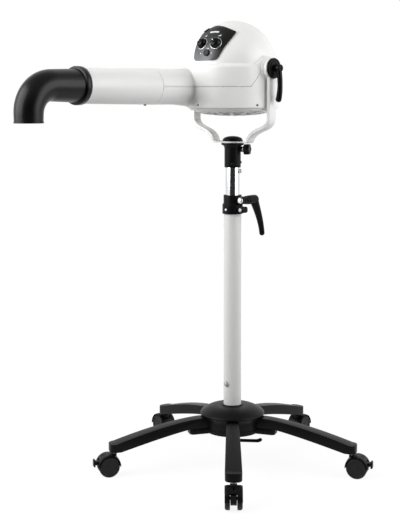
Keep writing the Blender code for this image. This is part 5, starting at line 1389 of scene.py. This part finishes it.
SIGHT_RISE = radians(64)     # the slot in the hood, from level
sight = slab(
    "sight_slot", mm([(-1.6, -4.5, 1), (1.6, -4.5, 1), (1.6, 4.5, 1), (-1.6, 4.5, 1)]), 21 * MM, 30 * MM,
    Matrix.Translation((AXLE_X, 0, AXLE_Z)) @ Matrix.Rotation(pi / 2 - SIGHT_RISE, 4, "Y")
    @ Matrix.Rotation(pi / 2, 4, "Z"))
merged(hood, sight, "DIFFERENCE")

rim = [
    (0, 17.4, 0), (4.4, 17.4, 0.4), (5.2, 16.8, 0.2), (16.6, 16.8, 0.3), (17.4, 17.8, 0.4),
    (20.2, 18.2, 0.8), (23.0, 15.6, 1.8), (23.0, 8.4, 0.8), (22.2, 7.5, 0.4), (3.5, 7.5, 0.2)]
rim += [(radius, -out, soft) for radius, out, soft in rim[::-1]]
wheels = turned("wheels", mm(rim), about_axle, 80)

arc = [
    (4 * MM * cos(radians(50 + 13 * step)), 4 * MM * sin(radians(50 + 13 * step)), 0)
    for step in range(21)]
pedal = slab(
    "pedal", arc + mm([(9.6, -3.0, 0.6), (9.6, -9, 1), (13.8, -9, 1.8), (13.8, 6.6, 1.8), (9.6, 6.6, 1),
        (9.6, 3.0, 0.6)]), -6.2 * MM, 6.2 * MM, side_on(PEDAL_X, PEDAL_Z))
edged(pedal, 0.8 * MM)
stem = turned(
    "stem", mm([(0, 13.5, 0), (5.5, 13.5, 0.8)], TIP_LOW) + mm([(5.5, -16.5, 0.4), (0, -16.5, 0)],
        hood_top), steps=40)
caster = (
    (hood, "hood", nylon_black), (wheels, "wheels", tread_black), (pedal, "brake_pedal", nylon_black),
    (stem, "stem", zinc))
for number in range(1, ARMS + 1):
    spot = arm_turn(number - 1) @ Matrix.Translation((STEM_R, 0, 0))
    for shape, name, material in caster:
        node = f"caster_{number}_{name}"
        stand_in(copied(shape, node + "_shaped", spot), node, material, 34)
for shape, name, material in caster:
    bpy.data.objects.remove(shape)
print("casters", ARMS, "axle at", round(AXLE_Z, 4))

# %% [markdown]
# ## The other solids
# What is left is inside the head or hardly seen: motor, fan, heater, board and small pins. Their packed
# shapes are right, so each gets a copy with rounded edges in the finish that its slot in the record
# names.

# %% Finished copies of the other solids
SLOT_FINISH = {
    "white_plastic": abs_white, "white_steel": powder_white, "black_plastic": nylon_black,
    "black_soft": polyprop_black, "panel_film": abs_black, "chrome": chrome, "zinc_steel": zinc,
    "motor_body": cast_aluminium, "mica": mica_board, "board": solder_mask}
for node in sorted(set(nodes) - shown):
    finished(node, SLOT_FINISH[slot_of[node]])
print("all", len(shown), "solids shown")

# %% [markdown]
# ## Finish
# Nothing is left selected when the scene is done.

# %% Finish
bpy.ops.object.select_all(action="DESELECT")
